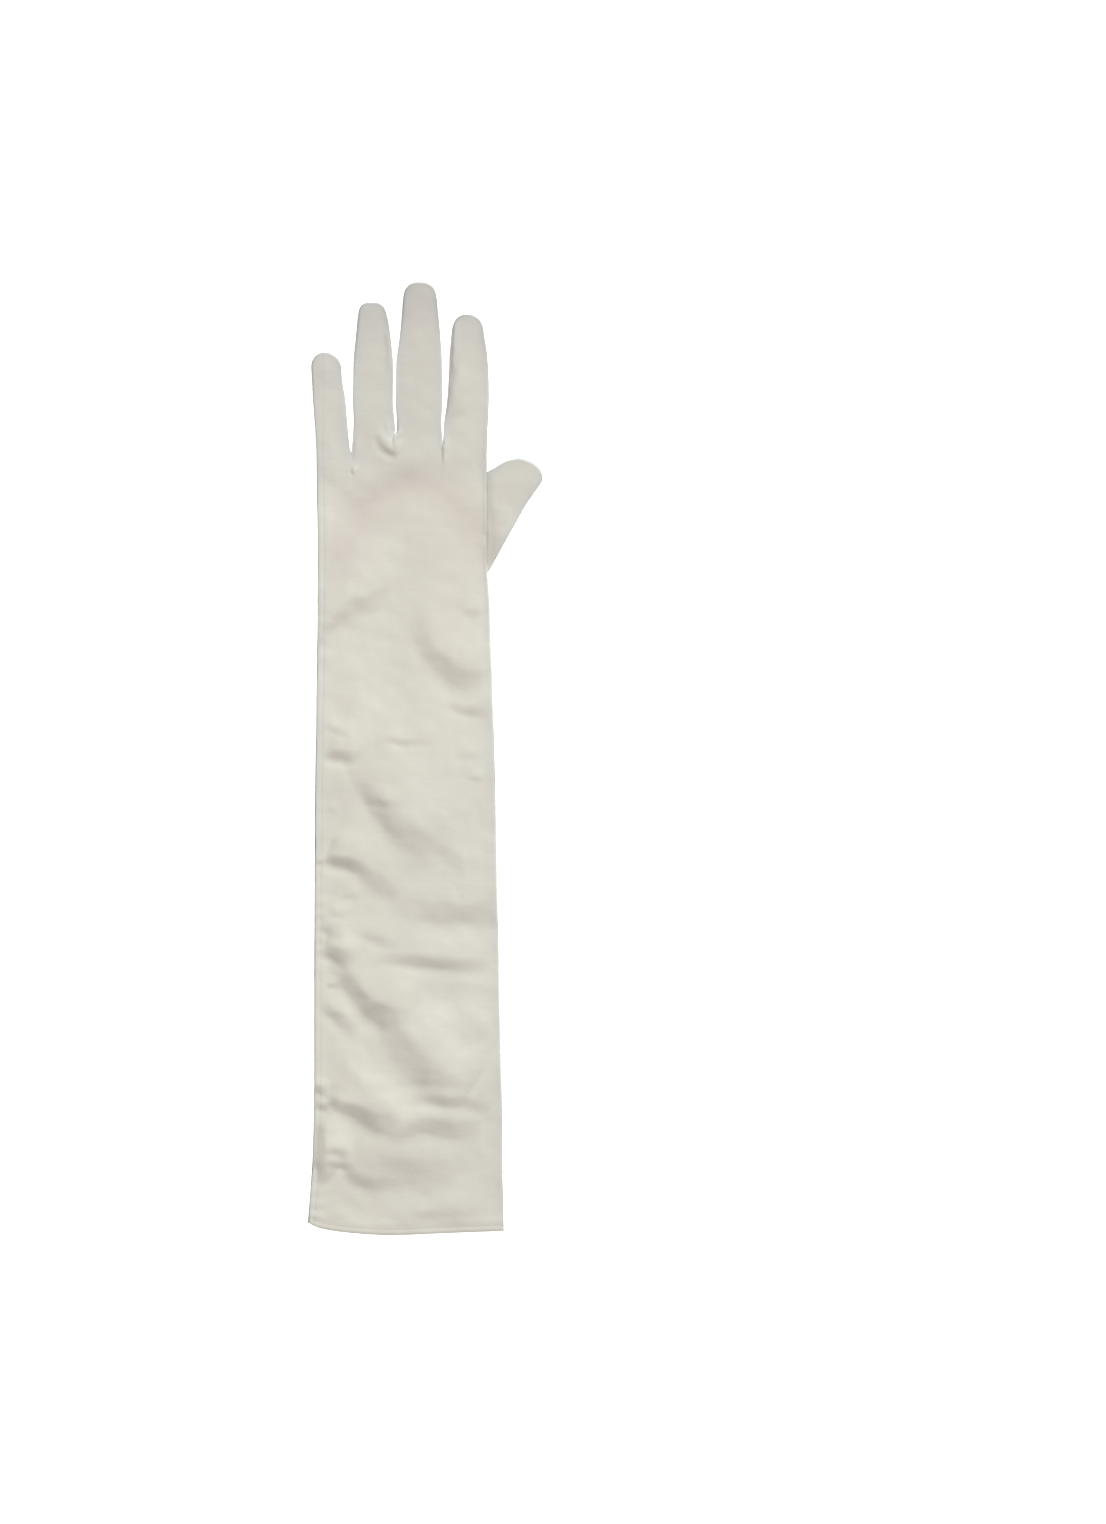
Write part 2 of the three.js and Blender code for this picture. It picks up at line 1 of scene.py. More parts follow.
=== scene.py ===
# A long ivory satin dress glove for the left hand, lying on a pale table with its back up.
# Lengths are in millimetres, in the maker's drawing: x runs from the sleeve's centre line towards
# the thumb, y from the right end of the hem towards the fingertips and z up from the table. Each
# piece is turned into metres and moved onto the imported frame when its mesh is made.
import math
from collections import namedtuple

import bpy
import numpy as np
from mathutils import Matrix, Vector


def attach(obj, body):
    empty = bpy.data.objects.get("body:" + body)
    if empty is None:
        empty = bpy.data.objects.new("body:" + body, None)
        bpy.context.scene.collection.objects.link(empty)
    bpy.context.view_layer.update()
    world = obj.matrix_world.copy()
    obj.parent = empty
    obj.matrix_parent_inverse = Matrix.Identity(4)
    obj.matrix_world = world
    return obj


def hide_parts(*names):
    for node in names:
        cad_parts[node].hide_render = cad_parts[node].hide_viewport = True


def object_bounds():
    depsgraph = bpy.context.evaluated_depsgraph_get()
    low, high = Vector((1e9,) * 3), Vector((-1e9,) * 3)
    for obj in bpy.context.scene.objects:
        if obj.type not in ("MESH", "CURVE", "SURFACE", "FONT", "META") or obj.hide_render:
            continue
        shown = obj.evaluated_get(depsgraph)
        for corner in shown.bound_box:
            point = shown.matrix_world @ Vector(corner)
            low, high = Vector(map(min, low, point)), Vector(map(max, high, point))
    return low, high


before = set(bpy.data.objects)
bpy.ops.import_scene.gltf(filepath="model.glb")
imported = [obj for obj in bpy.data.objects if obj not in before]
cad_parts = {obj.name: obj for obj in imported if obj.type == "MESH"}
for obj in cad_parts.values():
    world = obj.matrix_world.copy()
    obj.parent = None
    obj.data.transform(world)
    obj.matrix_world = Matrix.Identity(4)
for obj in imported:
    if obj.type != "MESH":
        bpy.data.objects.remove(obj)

cad_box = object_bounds()
MM = 0.001

# Cloth and seams
WALL = 0.4  # satin and its turnings
HEM_WALL = 0.8  # cloth at the turned hem
HEM_LINE = 2.7  # row of hem stitches above the hem's edge
HEM_TURNED = 7.0
HEM_STEP = 0.14  # ledge over the turned hem
HEM_LEDGE = (HEM_TURNED - 0.8, HEM_TURNED + 0.4)  # where the ledge falls to the plain cloth
HEM_DIP = (0.12, 0.7)  # depth and reach of the dip along its stitches
HEM_FADE = 0.6  # half the stretch in which its wall thins out to the plain cloth
SEAM_GAP = 0.15  # dip between two pieces that are sewn together
SIDE_SEAM = 3.4  # side seam inside the outer edge of the sleeve
SEAM_DIP = (0.08, 0.55)  # depth and reach of the dip along it
SEAM_FADE = 12.0  # length below the fingers' roots over which it fades out
PUCKER_STEP = 9.5  # spacing of the puckers beside the seam
PUCKER_SHIFTS = [(0.9, 31), (0.5, 12.7)]  # their slow shifts: size in steps, length over 2 pi
PUCKER_HEIGHT = 0.05
PUCKER_SWELL = 23.0  # length over 2 pi of the wave that changes their height
PUCKER_REACH = (3.5, 6.0)
PUCKER_SPREAD = 17.0  # and of the one that changes their reach
PUCKER_FADE = 20.0  # length below the fingers' roots over which they fade out
FOURCHETTE_FOLD = 3.0  # how far a fourchette folds into the finger
FOLD_STARTS = 0.08  # share of a finger's length over which the fold starts
STRIP_THIN = 0.1  # edge of a fourchette where it runs out to a point

# How the flat glove swells between its side creases
CREASE_HEIGHT = 0.85  # side creases over the table
EDGE_ROUND = 1.2  # reach of the round edge inside a crease
EDGE_POWER = 2.0
BACK_RISE = 0.6  # back over its creases
SLEEVE_CROWN = 0.35  # low crown of the back, and how far inside the outline it is full
CROWN_REACH = 40.0
SOFT_GROUND = 0.22  # soft and fine unevenness of the lying satin
FINE_GROUND = 0.05
PALM_RIPPLE = (0.3, 0.22)  # middle and swing of the palm's height over the table
FINGER_WEB = 0.55  # half the height of the strips between the fingers, at their roots
WEB_FADE = 26.0
STRIP_END = 0.9  # share of a finger's length where the strips run out to a point

# The thumb under the palm
THUMB_FLOOR = 0.15  # heights over the table of its underside, its top and its side creases
THUMB_TOP = 1.8
THUMB_CREASE = 0.9
THUMB_ROUND = 1.5  # reach of its round edge
THUMB_SWELLS = 24.0  # length over which it swells from its root
THUMB_DIP = 0.8  # dip of the thumb where it goes in under the palm
THUMB_DIP_REACH = (4.2, 1.8)  # its reach, low down and high up on the hand's side
THUMB_DIP_NARROWS = (368, 388)  # where it passes from one to the other
THUMB_SEAM = (0.125, 0.6)  # height and reach of the seam under the thumb
THUMB_SEAM_LINE = (-2, 4)  # its place across the thumb, at THUMB_ROOT and at the tip
THUMB_ROOT = (31.0, 353.0)
THUMB_TURN = math.radians(32)
THUMB_GROUND = 40.0  # shift of the soft ground, which gives the thumb its own
PALM_LIFT = THUMB_TOP + 0.4  # lift of the palm over the thumb
LIFT_REACH = 42.0  # how far beside the thumb the palm is down again
RAMP = (-66.0, 14.0)  # where along the thumb the palm rises
BACK_FOLLOWS = 0.75  # share of the lift that the back follows
PALM_CLEAR = 0.25  # palm over the thumb's root
SEATED_INSIDE = 2.0  # this far inside the hand's edge the thumb stays below the palm
THUMB_HOLE_ROWS = (0.045, 0.17)
THUMB_HOLE_COLUMNS = (0.3, 0.7)
PALM_HOLE = (23.0, 34.0, 343.0, 356.0)  # its left, right, low and high side

# Side edges of the sleeve and hand: y, left, right
SIDE_EDGES = [
    (0, -52.3, 52.3),
    (16, -50.9, 51.9),
    (37, -49.4, 51.6),
    (58, -48.8, 51.4),
    (122, -48.5, 50.0),
    (217, -48.1, 48.2),
    (281, -47.3, 46.4),
    (334, -46.7, 44.7),
    (352, -46.6, 43.4),
    (411, -47.3, 43.2),
]
HEM_ENDS = (4.2, -0.2)
HAND_TOP = 411.0

# Sag of the hem: share of the width, drop
HEM_SAG = [(0, 0), (0.07, 2.8), (0.19, 4.3), (0.37, 4.9), (0.68, 2.7), (0.88, 1.0), (1, 0)]

# Points where the hand divides into fingers: x, y
CORNERS = np.array([(-47.3, 411.0), (-28.5, 410.5), (-4.6, 422.2), (19.6, 415.6), (43.2, 411.0)])

# Side edges of each finger: y, left, right; the last row is the tip before it is rounded off
Finger = namedtuple("Finger", "name round blunt rows")
FINGERS = [
    Finger("little", 9, 2.2, [
        (413.5, -47.4, -29.5),
        (424, -48.0, -30.6),
        (440, -49.1, -32.0),
        (450.5, -49.7, -33.6),
        (465.2, -50.6, -34.6),
    ]),
    Finger("ring", 7, 3, [
        (424, -27.5, -5.6),
        (428, -27.3, -5.9),
        (440, -27.7, -6.8),
        (458.5, -27.5, -6.7),
        (474.4, -26.1, -8.1),
        (491.7, -24.6, -11.2),
    ]),
    Finger("middle", 8.5, 2.6, [
        (424, -4.3, 19.1),
        (428, -4.4, 19.0),
        (440, -4.9, 19.4),
        (458.5, -4.7, 19.3),
        (474.4, -2.8, 18.4),
        (490, -1.5, 16.9),
        (502.4, -0.7, 15.9),
    ]),
    Finger("index", 8, 2.3, [
        (417.6, 20.2, 43.4),
        (424, 20.4, 43.6),
        (440, 22.3, 44.3),
        (450.5, 23.0, 44.2),
        (463.8, 23.5, 43.4),
        (474.4, 24.5, 41.8),
        (485.4, 25.4, 40.3),
    ]),
]
STRIP_NAMES = ["fourchette_little_ring", "fourchette_ring_middle", "fourchette_middle_index"]

# The thumb in its own drawing: y along it from THUMB_ROOT, left, right
THUMB_ROWS = [
    (-16, -13.2, 13.0),
    (4, -14.5, 13.2),
    (23, -15.3, 12.4),
    (34, -15.5, 11.8),
    (45, -15.7, 11.3),
    (48, -15.6, 11.5),
    (52, -14.2, 11.7),
    (57, -13.9, 12.0),
    (65, -13.7, 12.2),
]
THUMB_TIP_X = 2.5
THUMB_ROUND_LEFT = 20.0  # lengths over which its sides draw together at the tip and the root
THUMB_ROUND_RIGHT = 7.0
THUMB_ROOT_ROUND = 12.0

# Folds of the back. Seen along a fold's line, the cloth stands high on the left and drops by
# height over a steep flank. flank is half the flank's width at both ends of the line, gentle the
# reach of the slow slope behind it, valley the share of the height that is dug out below the
# flank, and peak the share of the line where the fold is highest.
Fold = namedtuple("Fold", "name height flank gentle valley peak line")
FOLDS = [Fold(*row) for row in [
    ("outer wrist", 2.0, (3.6, 5.5), 26, 0.1, 0.45,
     [(-54, 311), (-44, 317.5), (-39, 321), (-33.5, 326), (-27.5, 329.8), (-20, 332.6),
      (-8, 335.5)]),
    ("thumb side of the wrist", 2.5, (3.4, 6.8), 32, 0.12, 0.65,
     [(2, 327), (7.5, 315), (13, 306.5), (19, 299.7), (25.5, 294), (32.5, 291), (45, 291)]),
    ("wrist dash", 0.45, (2, 2), 5, 0.2, 0.5, [(30, 328.5), (36, 327), (42, 326)]),
    ("line below the thumb", 0.75, (2, 2.2), 9, 0.3, 0.5,
     [(21, 278.7), (29, 276.4), (37, 274.9), (47, 274)]),
    ("faint below the wrist", 0.6, (3.5, 4.5), 10, 0.1, 0.4, [(-38, 281), (-28, 275), (-13, 270)]),
    ("thin middle", 0.75, (1.7, 1.8), 12, 0.1, 0.45,
     [(-15, 260.3), (-5, 259), (6, 258.2), (17, 257.4)]),
    ("side tick", 0.4, (1.5, 1.5), 4, 0.3, 0.4, [(-43, 268.5), (-36, 265), (-28, 261.5)]),
    ("deep crease under the wrist", 1.4, (2.5, 2.8), 20, 0.35, 0.35,
     [(-43, 252.3), (-38, 252), (-31, 251.8), (-21, 249.8)]),
    ("tail of the deep crease", 0.4, (2, 2.5), 6, 0.2, 0.4, [(-34, 251), (-29, 245), (-25, 239)]),
    ("upper forearm", 2.9, (2.4, 10.5), 36, 0.12, 0.58,
     [(-28, 243), (-24, 236.5), (-19, 229.5), (-13, 222.5), (-6, 215), (1, 208.5), (9, 202),
      (21, 195.5)]),
    ("crease in the upper forearm", 0.5, (1.8, 2.2), 7, 0.3, 0.35,
     [(-21, 228), (-12, 226.3), (0, 225.5)]),
    ("thumb side dash", 0.3, (0.8, 0.8), 4, 0.3, 0.5, [(32, 239.5), (41, 238.5)]),
    ("thumb side ripple", 0.3, (1.5, 2), 5, 0.2, 0.5, [(25, 253.5), (42, 248.5)]),
    ("small tick", 0.2, (1.2, 1.2), 4, 0.3, 0.4, [(-43, 224), (-35, 220.5)]),
    ("outer edge tick", 0.5, (0.9, 0.9), 3, 0.4, 0.4, [(-48.5, 195), (-43, 194)]),
    ("deep crease of the forearm", 1.8, (2.8, 3.4), 20, 0.35, 0.4,
     [(-43.5, 196.6), (-37, 195.9), (-31, 195), (-21, 192.7)]),
    ("outer forearm", 1.6, (3.8, 5), 30, 0.12, 0.45,
     [(-32, 197.5), (-25, 192), (-18, 186.5), (-12, 182), (-6, 178.7), (0, 176.5)]),
    ("faint inner forearm", 0.6, (3, 4), 9, 0.1, 0.5, [(14, 205), (25, 197), (35, 189)]),
    ("inner forearm", 2.2, (4.2, 7.2), 34, 0.12, 0.6,
     [(-6, 174.5), (4, 170.5), (14, 168.7), (28, 167.5), (42, 166.3), (54, 166)]),
    ("mark beside the seam", 0.35, (1.5, 1.5), 4, 0.3, 0.4, [(-34, 178.3), (-23, 176)]),
    ("tick beside the seam", 0.45, (1.6, 1.6), 4, 0.3, 0.5, [(-42, 169), (-35, 167.7), (-28, 167)]),
    ("pucker above the diagonal", 0.8, (2.5, 2.5), 8, 0.2, 0.4,
     [(-45, 161.5), (-38.5, 157.5), (-31, 155)]),
    ("short slanting fold", 0.8, (2.2, 2.4), 9, 0.2, 0.5, [(-27, 159), (-16, 155), (-3, 149.5)]),
    ("blob above the diagonal", 2.0, (2.9, 3.2), 9, 0.2, 0.4,
     [(-44, 150.3), (-37.5, 147.4), (-33, 144.4), (-27, 140.8)]),
    ("level crease", 1.9, (2.7, 3.7), 22, 0.2, 0.45,
     [(-19, 144.6), (-6, 144), (6, 143.1), (16, 141.3), (25, 140.3), (34, 141.2), (50, 140.5)]),
    ("under the level crease", 1.1, (5, 7), 16, 0.1, 0.5,
     [(4, 134), (20, 128), (34, 124.5), (54, 121.5)]),
    ("long diagonal, upper part", 3.4, (3.3, 6.6), 22, 0.14, 0.7,
     [(-43.7, 147), (-37.6, 140.8), (-33, 135.1), (-29.7, 129.6), (-26, 124.2), (-20.3, 118.6),
      (-12, 114.2), (1, 109)]),
    ("long diagonal, lower part", 5.0, (8, 10.4), 27, 0.1, 0.62,
     [(-18, 108.5), (-10.5, 102.5), (-3, 96), (4.2, 90), (10.8, 84.2), (17.2, 78.4), (30, 65)]),
    ("line under the diagonal", 0.45, (1.8, 1.8), 9, 0.2, 0.4, [(-10, 78.4), (13, 79), (34, 78.4)]),
    ("tick under the diagonal", 0.4, (0.9, 0.9), 3, 0.3, 0.4, [(-43, 130.5), (-34, 129.5)]),
    ("fold beside the diagonal", 1.6, (2.8, 3.6), 9, 0.15, 0.5,
     [(-44, 119.5), (-37.5, 114), (-32, 109.5), (-25, 104)]),
    ("pale band", 1.7, (5.5, 6), 20, 0, 0.6,
     [(6, 66), (-8, 72), (-17, 79.5), (-24, 89), (-31, 99.5), (-40, 112)]),
    ("faint inner side", 1.3, (6, 6.5), 14, 0.1, 0.55, [(20, 118), (33, 109), (48, 98)]),
    ("thin line above the hem", 1.5, (2.3, 2.8), 34, 0.2, 0.6,
     [(1, 69.6), (10, 69.5), (19, 68.9), (28, 67.8), (36, 66.8), (47, 65.5)]),
    ("above the hem, outer part", 2.8, (2.4, 7), 34, 0.12, 0.64,
     [(-48, 72), (-37, 67), (-30, 63.4), (-20, 59.2), (-10, 55.7), (-2, 53.2), (7, 51.6)]),
    ("start of the outer part", 0.7, (1.6, 2.8), 6, 0.15, 0.4,
     [(-43, 70.5), (-38.5, 68.2), (-33, 65), (-26, 60.5)]),
    ("above the hem, inner part", 3.0, (4.8, 5.3), 24, 0.08, 0.4,
     [(-5, 53), (3, 55), (9, 55.6), (17, 54.6), (25, 53.2), (38, 51.5)]),
    ("edge tick, upper", 0.8, (1.6, 1.6), 3, 0.4, 0.4, [(-50, 76), (-41, 73.5)]),
    ("edge tick, lower", 0.8, (1.6, 1.6), 3, 0.4, 0.4, [(-48.5, 67), (-40, 64)]),
    ("outer edge by the hem", 3.3, (2.4, 2.8), 12, 0.1, 0.5, [(-44.8, 60), (-45, 42), (-43.8, 22)]),
    ("outer hem", 1.2, (3.2, 3.6), 60, 0.15, 0.4,
     [(-38, 48), (-33.5, 41), (-31, 35), (-28, 28.6), (-21, 24.6), (-8, 22.5)]),
    ("first mark by the outer hem", 0.9, (2.2, 2.2), 6, 0.2, 0.45,
     [(-42, 43.5), (-35.5, 41.5), (-29, 38.5)]),
    ("second mark by the outer hem", 0.9, (1.8, 1.8), 5, 0.2, 0.4,
     [(-42, 36), (-37, 35), (-29, 33)]),
    ("broad hollow above the hem", 3.2, (12.5, 9.5), 26, 0.02, 0.45,
     [(-33, 37), (-14, 33), (-1, 30.3), (12, 27.3), (28, 27)]),
    ("faint by the hem", 0.9, (3.4, 3.4), 12, 0.1, 0.5, [(-9, 7), (12, 7), (36, 5.5)]),
    ("outer corner of the hem", 0.3, (1.5, 1.5), 4, 0.1, 0.5, [(-43, 8), (-30, 6.5)]),
    ("top of the knuckles", 1.2, (5.5, 6), 20, 0.1, 0.5,
     [(-38, 384), (-28, 388), (-14, 393), (-5, 397), (12, 399)]),
    ("root of the middle finger", 0.7, (7, 7), 14, 0, 0.5, [(-4, 420), (7, 423), (18, 420)]),
    ("thumb side of the knuckles", 0.3, (5, 5.5), 20, 0.1, 0.5,
     [(6, 404), (19, 396), (31, 385.5), (42, 371)]),
    ("tuck between ring and middle", 1.3, (0.8, 1.8), 6, 0.25, 0.68,
     [(-16.6, 422), (-13, 417), (-9.8, 413.6), (-6.8, 411.3), (-3.6, 410)]),
    ("gather at the middle finger", 0.9, (0.45, 0.5), 1.6, 0.3, 0.3,
     [(-4.2, 422.8), (-6.3, 419.4), (-6, 416.2), (-5.6, 413)]),
    ("gather at the ring finger", 0.35, (0.6, 0.6), 2.5, 0.4, 0.4,
     [(-12, 428.5), (-10, 424), (-8, 420)]),
    ("gather at the little finger", 0.45, (0.6, 0.6), 2.5, 0.5, 0.4, [(-27.4, 421), (-27, 408)]),
    ("mark below the little finger", 0.45, (0.6, 0.6), 2, 0.3, 0.5,
     [(-28.8, 403.6), (-27.4, 399.8)]),
    ("gather at the index finger", 0.7, (0.5, 0.6), 2.5, 0.2, 0.2,
     [(19.1, 417.5), (19.4, 413), (20.4, 404)]),
    ("outer flank of the index finger", 1.6, (1.3, 2.4), 9, 0, 0.66,
     [(26.6, 480), (25.4, 462), (24.8, 450), (23.1, 434), (22, 424)]),
    ("turned edge of the index finger", 0.9, (0.5, 0.5), 2, 0, 0.4,
     [(25.6, 480), (24.6, 468), (23.7, 450)]),
    ("flank of the ring finger", 0.4, (0.8, 1), 4, 0.1, 0.4, [(-11, 479), (-9.5, 466), (-9, 452)]),
]]

# Line of the knuckles
KNUCKLES = [
    (-31, 360), (-28, 371), (-22, 381), (-12, 388), (0, 396.5), (9, 397.5), (18, 392), (28, 384),
    (36, 375), (41, 362),
]

PULL = np.array([0.47, 0.88])  # direction in which the cloth is pulled, up the arm and to the thumb
PULL_WEIGHT = 8  # its weight against the normal of a fold's line
FOLD_WAVER = 0.5
LINE_BLEND = (0.2, 0.1)  # parts of a line are blended over this share of the distance and this much
VALLEY_PLACE = 1.6  # middle of the valley below a flank, in half widths of the flank
FLANK_BEND = 0.35  # softness of the bends at both sides of a flank, as a share of its half width

# Fineness of the surfaces
HAND_RISES = 312
ROOT_RISES = 44  # closer rows by the roots of the fingers
ROOT_ROWS_FROM = 0.925
FINGER_CLIMBS = 42
TIP_CLIMBS = 14
BACK_CELLS = 22
PALM_CELLS = 7
STRIP_CELLS = 6
THUMB_CELLS = (72, 34)
COLUMNS_GATHER = 0.78  # from here up the sleeve's columns draw together into the fingers
SIDE_GATHER = 0.6  # how far the columns crowd at the sides of a finger
SLEEVE_GATHER = 0.5  # and at the sides of the sleeve
CORNER_BEND = 6  # how soon the rows bend towards the fingers' roots,
HEM_BEND = 12  # and towards the sagging hem
MERGE_STEPS = 1000  # points in the same thousandth of a millimetre are one
MERGE_OFFSET = 0.137  # keeps round values off the border between two steps
ROUND_STEPS = 3  # faces round the edge of the cloth
FINGER_POINTS = 29  # points of the outlines, along a side of a finger
SIDE_POINTS = 41  # and along a side of the sleeve or the thumb
PAST_HEM = 60.0  # how far the outline runs on below the hem, which is no edge

# Hem stitches
STITCH_STEP = 2.5
STITCH_LENGTH = 2.0
STITCH_THREAD = 0.4
STITCH_SUNK = 0.1
STITCH_CELLS = (5, 8)  # faces along a stitch and round it
STITCH_AHEAD = 0.004  # share of the hem's width that shows a stitch its way

# Colours. Each tone is what is left of a colour under painted shade: shade painted on the satin, a
# painted pink shade, a cool painted shade along its edges and a painted shade on its rim over the
# fingertips.
IVORY = (0.613, 0.596, 0.52)
THREAD = (0.57, 0.545, 0.475)
TONES = {
    "painted_shade": (0.807, 0.803, 0.837),
    "pink_shade": (0.96, 0.89, 0.905),
    "cool_shade": (0.935, 0.967, 1.0),
    "rim": (0.72, 0.72, 0.73),
}

# How far shade is painted on the satin: on the outer side, on the thumb's side, and where across
# the glove one passes into the other
SHADE_FINGERS = (0.58, 0.46, 8, 26)
SHADE_TIPS = (0.15, 0.45, -42, -12)
SHADE_KNUCKLES = (0.22, 0.12, -25, -5)
SHADE_SLEEVE = (0.16, 0.33, -20, 30)
SHADE_ARM = 0.07
SHADE_THUMB = 0.36
# Painted pink shade across the knuckles and on the middle finger's tip, and the reaches of the cool
# painted shade along the edges and of the painted shade on the fingertips' rim
PINK_SHADE_KNUCKLES = 0.55
PINK_SHADE_TIP = 0.25
MIDDLE_FINGER = (7.5, 9.0)  # its centre line, and the reach of the painted pink shade on its tip
KNUCKLE_REACH = 12.0
COOL_SHADE_REACH = 4.5
RIM_SHADE_REACH = 1.1

# Where a tone begins and is full, or is full and ends: up the glove, unless a line says otherwise
TIP_TONE = (-34, -6)  # from the fingertip
FINGER_TONE = (386, 404)
THUMB_TONE = (0, 3)  # from the hand's edge
SLEEVE_END = (225, 275)
ARM_END = (290, 320)  # on the thumb's side only,
ARM_SIDE = (5, 25)  # which begins here across the glove
SEAM_BARE = (2, 12)  # from the outer edge
HAND_END = (385, 405)
KNUCKLE_SHADE_END = (386, 398)
KNUCKLE_END = (402, 420)
THUMB_RIM_SHADE = (392, 400)

# Satin's surface, and its weave and seams
SATIN = {
    "Specular IOR Level": 0.9,
    "Anisotropic": 0.5,
    "Sheen Weight": 0.12,
    "Sheen Roughness": 0.4,
}
FLOATS, CRINKLES = 0.02, 0.16  # heights in millimetres
FLOAT_GRAIN = (3200, 420, 3200)  # grains to a metre across, along and through the glove
CRINKLE_GRAIN = (95, 190, 120)
PATCH_GRAIN = (26, 17, 26)
PATCH_SHADE, PATCH_ROUGH, FLOAT_SHADE = 0.09, 0.12, 0.05  # how far they change tone and roughness
BODY_ROUGH, PLAIN_ROUGH, THREAD_ROUGH = 0.38, 0.4, 0.5
SEWN_WIDTH = 0.7  # half the width of a seam's line
SEWN_SHADE, SEWN_DEPTH = -0.03, -0.04
FAR = 9.0  # no seam is near

# Lights and camera
KEY_DIRECTION = (62, 34)  # degrees round from the right, and up
KEY_ANGLE = 20  # its softness in degrees
KEY_POWER = 2.9
KEY_COLOUR = (0.935, 1, 1)
TOP_PLACE = (0.1, 0.5, 3.0)  # in metres
TOP_SIZE = 4.0
TOP_POWER = 36.0
TOP_COLOUR = (1, 0.99, 0.98)
SURROUNDINGS = 0.38
SURROUNDING_COLOUR = (1, 0.885, 0.872)
TABLE_HALF = 4.0  # in metres
TABLE_TONE = (0.945, 0.01)  # plain tone and its unevenness
TABLE_GRAIN = (30, 30, 30)
TABLE = {
    "Roughness": 0.9,
    "Specular IOR Level": 0.1,
    "Emission Color": (1, 1, 1, 1),
    "Emission Strength": 0.9,
}
TABLE_DROP = 0.05
SENSOR = 36
CAMERA_HEIGHT = 2500.0
FRAME_LENGTH = 807.7
FRAME_MIDDLE = np.array([78.2, 248.0])


def mix(a, b, share):
    """Straight line from a to b."""
    return a + (b - a) * share


def smooth(value, low, high):
    """S-curve from 0 at low to 1 at high: 3t squared less 2t cubed."""
    t = np.clip((value - low) / (high - low), 0, 1)
    return t * t * (3 - 2 * t)


def passing(value, course):
    """S-curve between two amounts: course holds both, and where it leaves one and arrives."""
    first, last, low, high = course
    return mix(first, last, smooth(value, low, high))


def bell(distance, reach):
    """Bell curve: 1 at a distance of 0, then e to minus the square of distance / reach."""
    return np.exp(-((distance / reach) ** 2))


def unit(vectors):
    """The same directions with a length of 1."""
    return vectors / np.maximum(np.linalg.norm(vectors, axis=-1, keepdims=True), 1e-12)


def shoulder(u):
    """Quarter of a superellipse: 0 at a crease, 1 from u = 1 on."""
    return (1 - (1 - np.clip(u, 0, 1)) ** EDGE_POWER) ** (1 / EDGE_POWER)


def eased(angle):
    """Cosine that climbs from 0 at an angle of 0 to 1 at pi, slow at both ends."""
    return (1 - np.cos(angle)) / 2


def rounded_end(q, power):
    """Superellipse: the half width left at a share q of the way through a rounded end."""
    return (1 - np.clip(q, 0, 1) ** power) ** (1 / power)


def curve_through(rows, value=1):
    """Monotone cubic through a table: at each row its slope is the harmonic mean of the rises on
    both sides, and 0 where they differ in sign, so the curve never overshoots."""
    table = np.array(rows, float)
    u, v = table[:, 0], table[:, value]
    rise = np.diff(v) / np.diff(u)
    before, after = rise[:-1], rise[1:]
    same_way = before * after > 0
    slope = np.empty_like(v)
    slope[0], slope[-1] = rise[0], rise[-1]
    slope[1:-1] = np.where(same_way, 2 * before * after / np.where(same_way, before + after, 1), 0)

    def at(wanted):
        p = np.clip(wanted, u[0], u[-1])
        i = np.clip(np.searchsorted(u, p) - 1, 0, len(u) - 2)
        span = u[i + 1] - u[i]
        t = (p - u[i]) / span
        start = (1 + 2 * t) * (1 - t) ** 2 * v[i] + t * (1 - t) ** 2 * span * slope[i]
        end = t * t * (3 - 2 * t) * v[i + 1] - t * t * (1 - t) * span * slope[i + 1]
        return start + end

    return at


def cut_corners(line, times=3):
    """Rounds a broken line: each pass replaces a corner by the points a quarter and three quarters
    of the way along its two sides."""
    points = np.array(line, float)
    for _ in range(times):
        first, last = points[:1], points[-1:]
        quarters = 0.75 * points[:-1] + 0.25 * points[1:]
        three_quarters = 0.25 * points[:-1] + 0.75 * points[1:]
        middle = np.stack([quarters, three_quarters], axis=1).reshape(-1, 2)
        points = np.concatenate([first, middle[1:-1], last])
    return points


def from_line(line, x, y):
    """Distance of each point from a broken line."""
    distance = np.full(np.shape(x), np.inf)
    for (ax, ay), (ux, uy) in zip(line, np.diff(line, axis=0)):
        dx, dy = x - ax, y - ay
        t = np.clip((dx * ux + dy * uy) / max(ux**2 + uy**2, 1e-18), 0, 1)
        distance = np.minimum(distance, np.hypot(dx - t * ux, dy - t * uy))
    return distance


def beside_line(line, x, y):
    """Signed distance from a broken line, positive to the left of its direction, and the share of
    the straight way between its ends, reached from a point along a direction between the way's
    normal and the PULL of the cloth. Far from the line the nearest parts are blended, with weights
    that fall off as an exponential of their extra distance, so that no ridge stands where two
    parts are equally near."""
    along = np.diff(line, axis=0)
    dx, dy = x - line[:-1, 0, None], y - line[:-1, 1, None]
    ux, uy = along[:, 0, None], along[:, 1, None]
    t = np.clip((dx * ux + dy * uy) / np.maximum(ux**2 + uy**2, 1e-9), 0, 1)
    gap = np.hypot(dx - t * ux, dy - t * uy)
    side = np.where(ux * dy - uy * dx >= 0, 1, -1)
    nearest = gap.min(axis=0)
    weight = np.exp((nearest - gap) / (LINE_BLEND[0] * nearest + LINE_BLEND[1]))
    across = (weight * gap * side).sum(axis=0) / weight.sum(axis=0)
    way = line[-1] - line[0]
    normal = np.array([-way[1], way[0]]) / np.hypot(*way)
    back = normal + PULL_WEIGHT * (normal @ PULL) * PULL
    share = (dx[0] * back[1] - dy[0] * back[0]) / (way[0] * back[1] - way[1] * back[0])
    return across, np.clip(share, 0, 1)


# The drawing's edges
side_left, side_right = curve_through(SIDE_EDGES, 1), curve_through(SIDE_EDGES, 2)
hem_drop = curve_through(HEM_SAG)
hand_width = CORNERS[4, 0] - CORNERS[0, 0]
corner_shares = (CORNERS[:, 0] - CORNERS[0, 0]) / hand_width


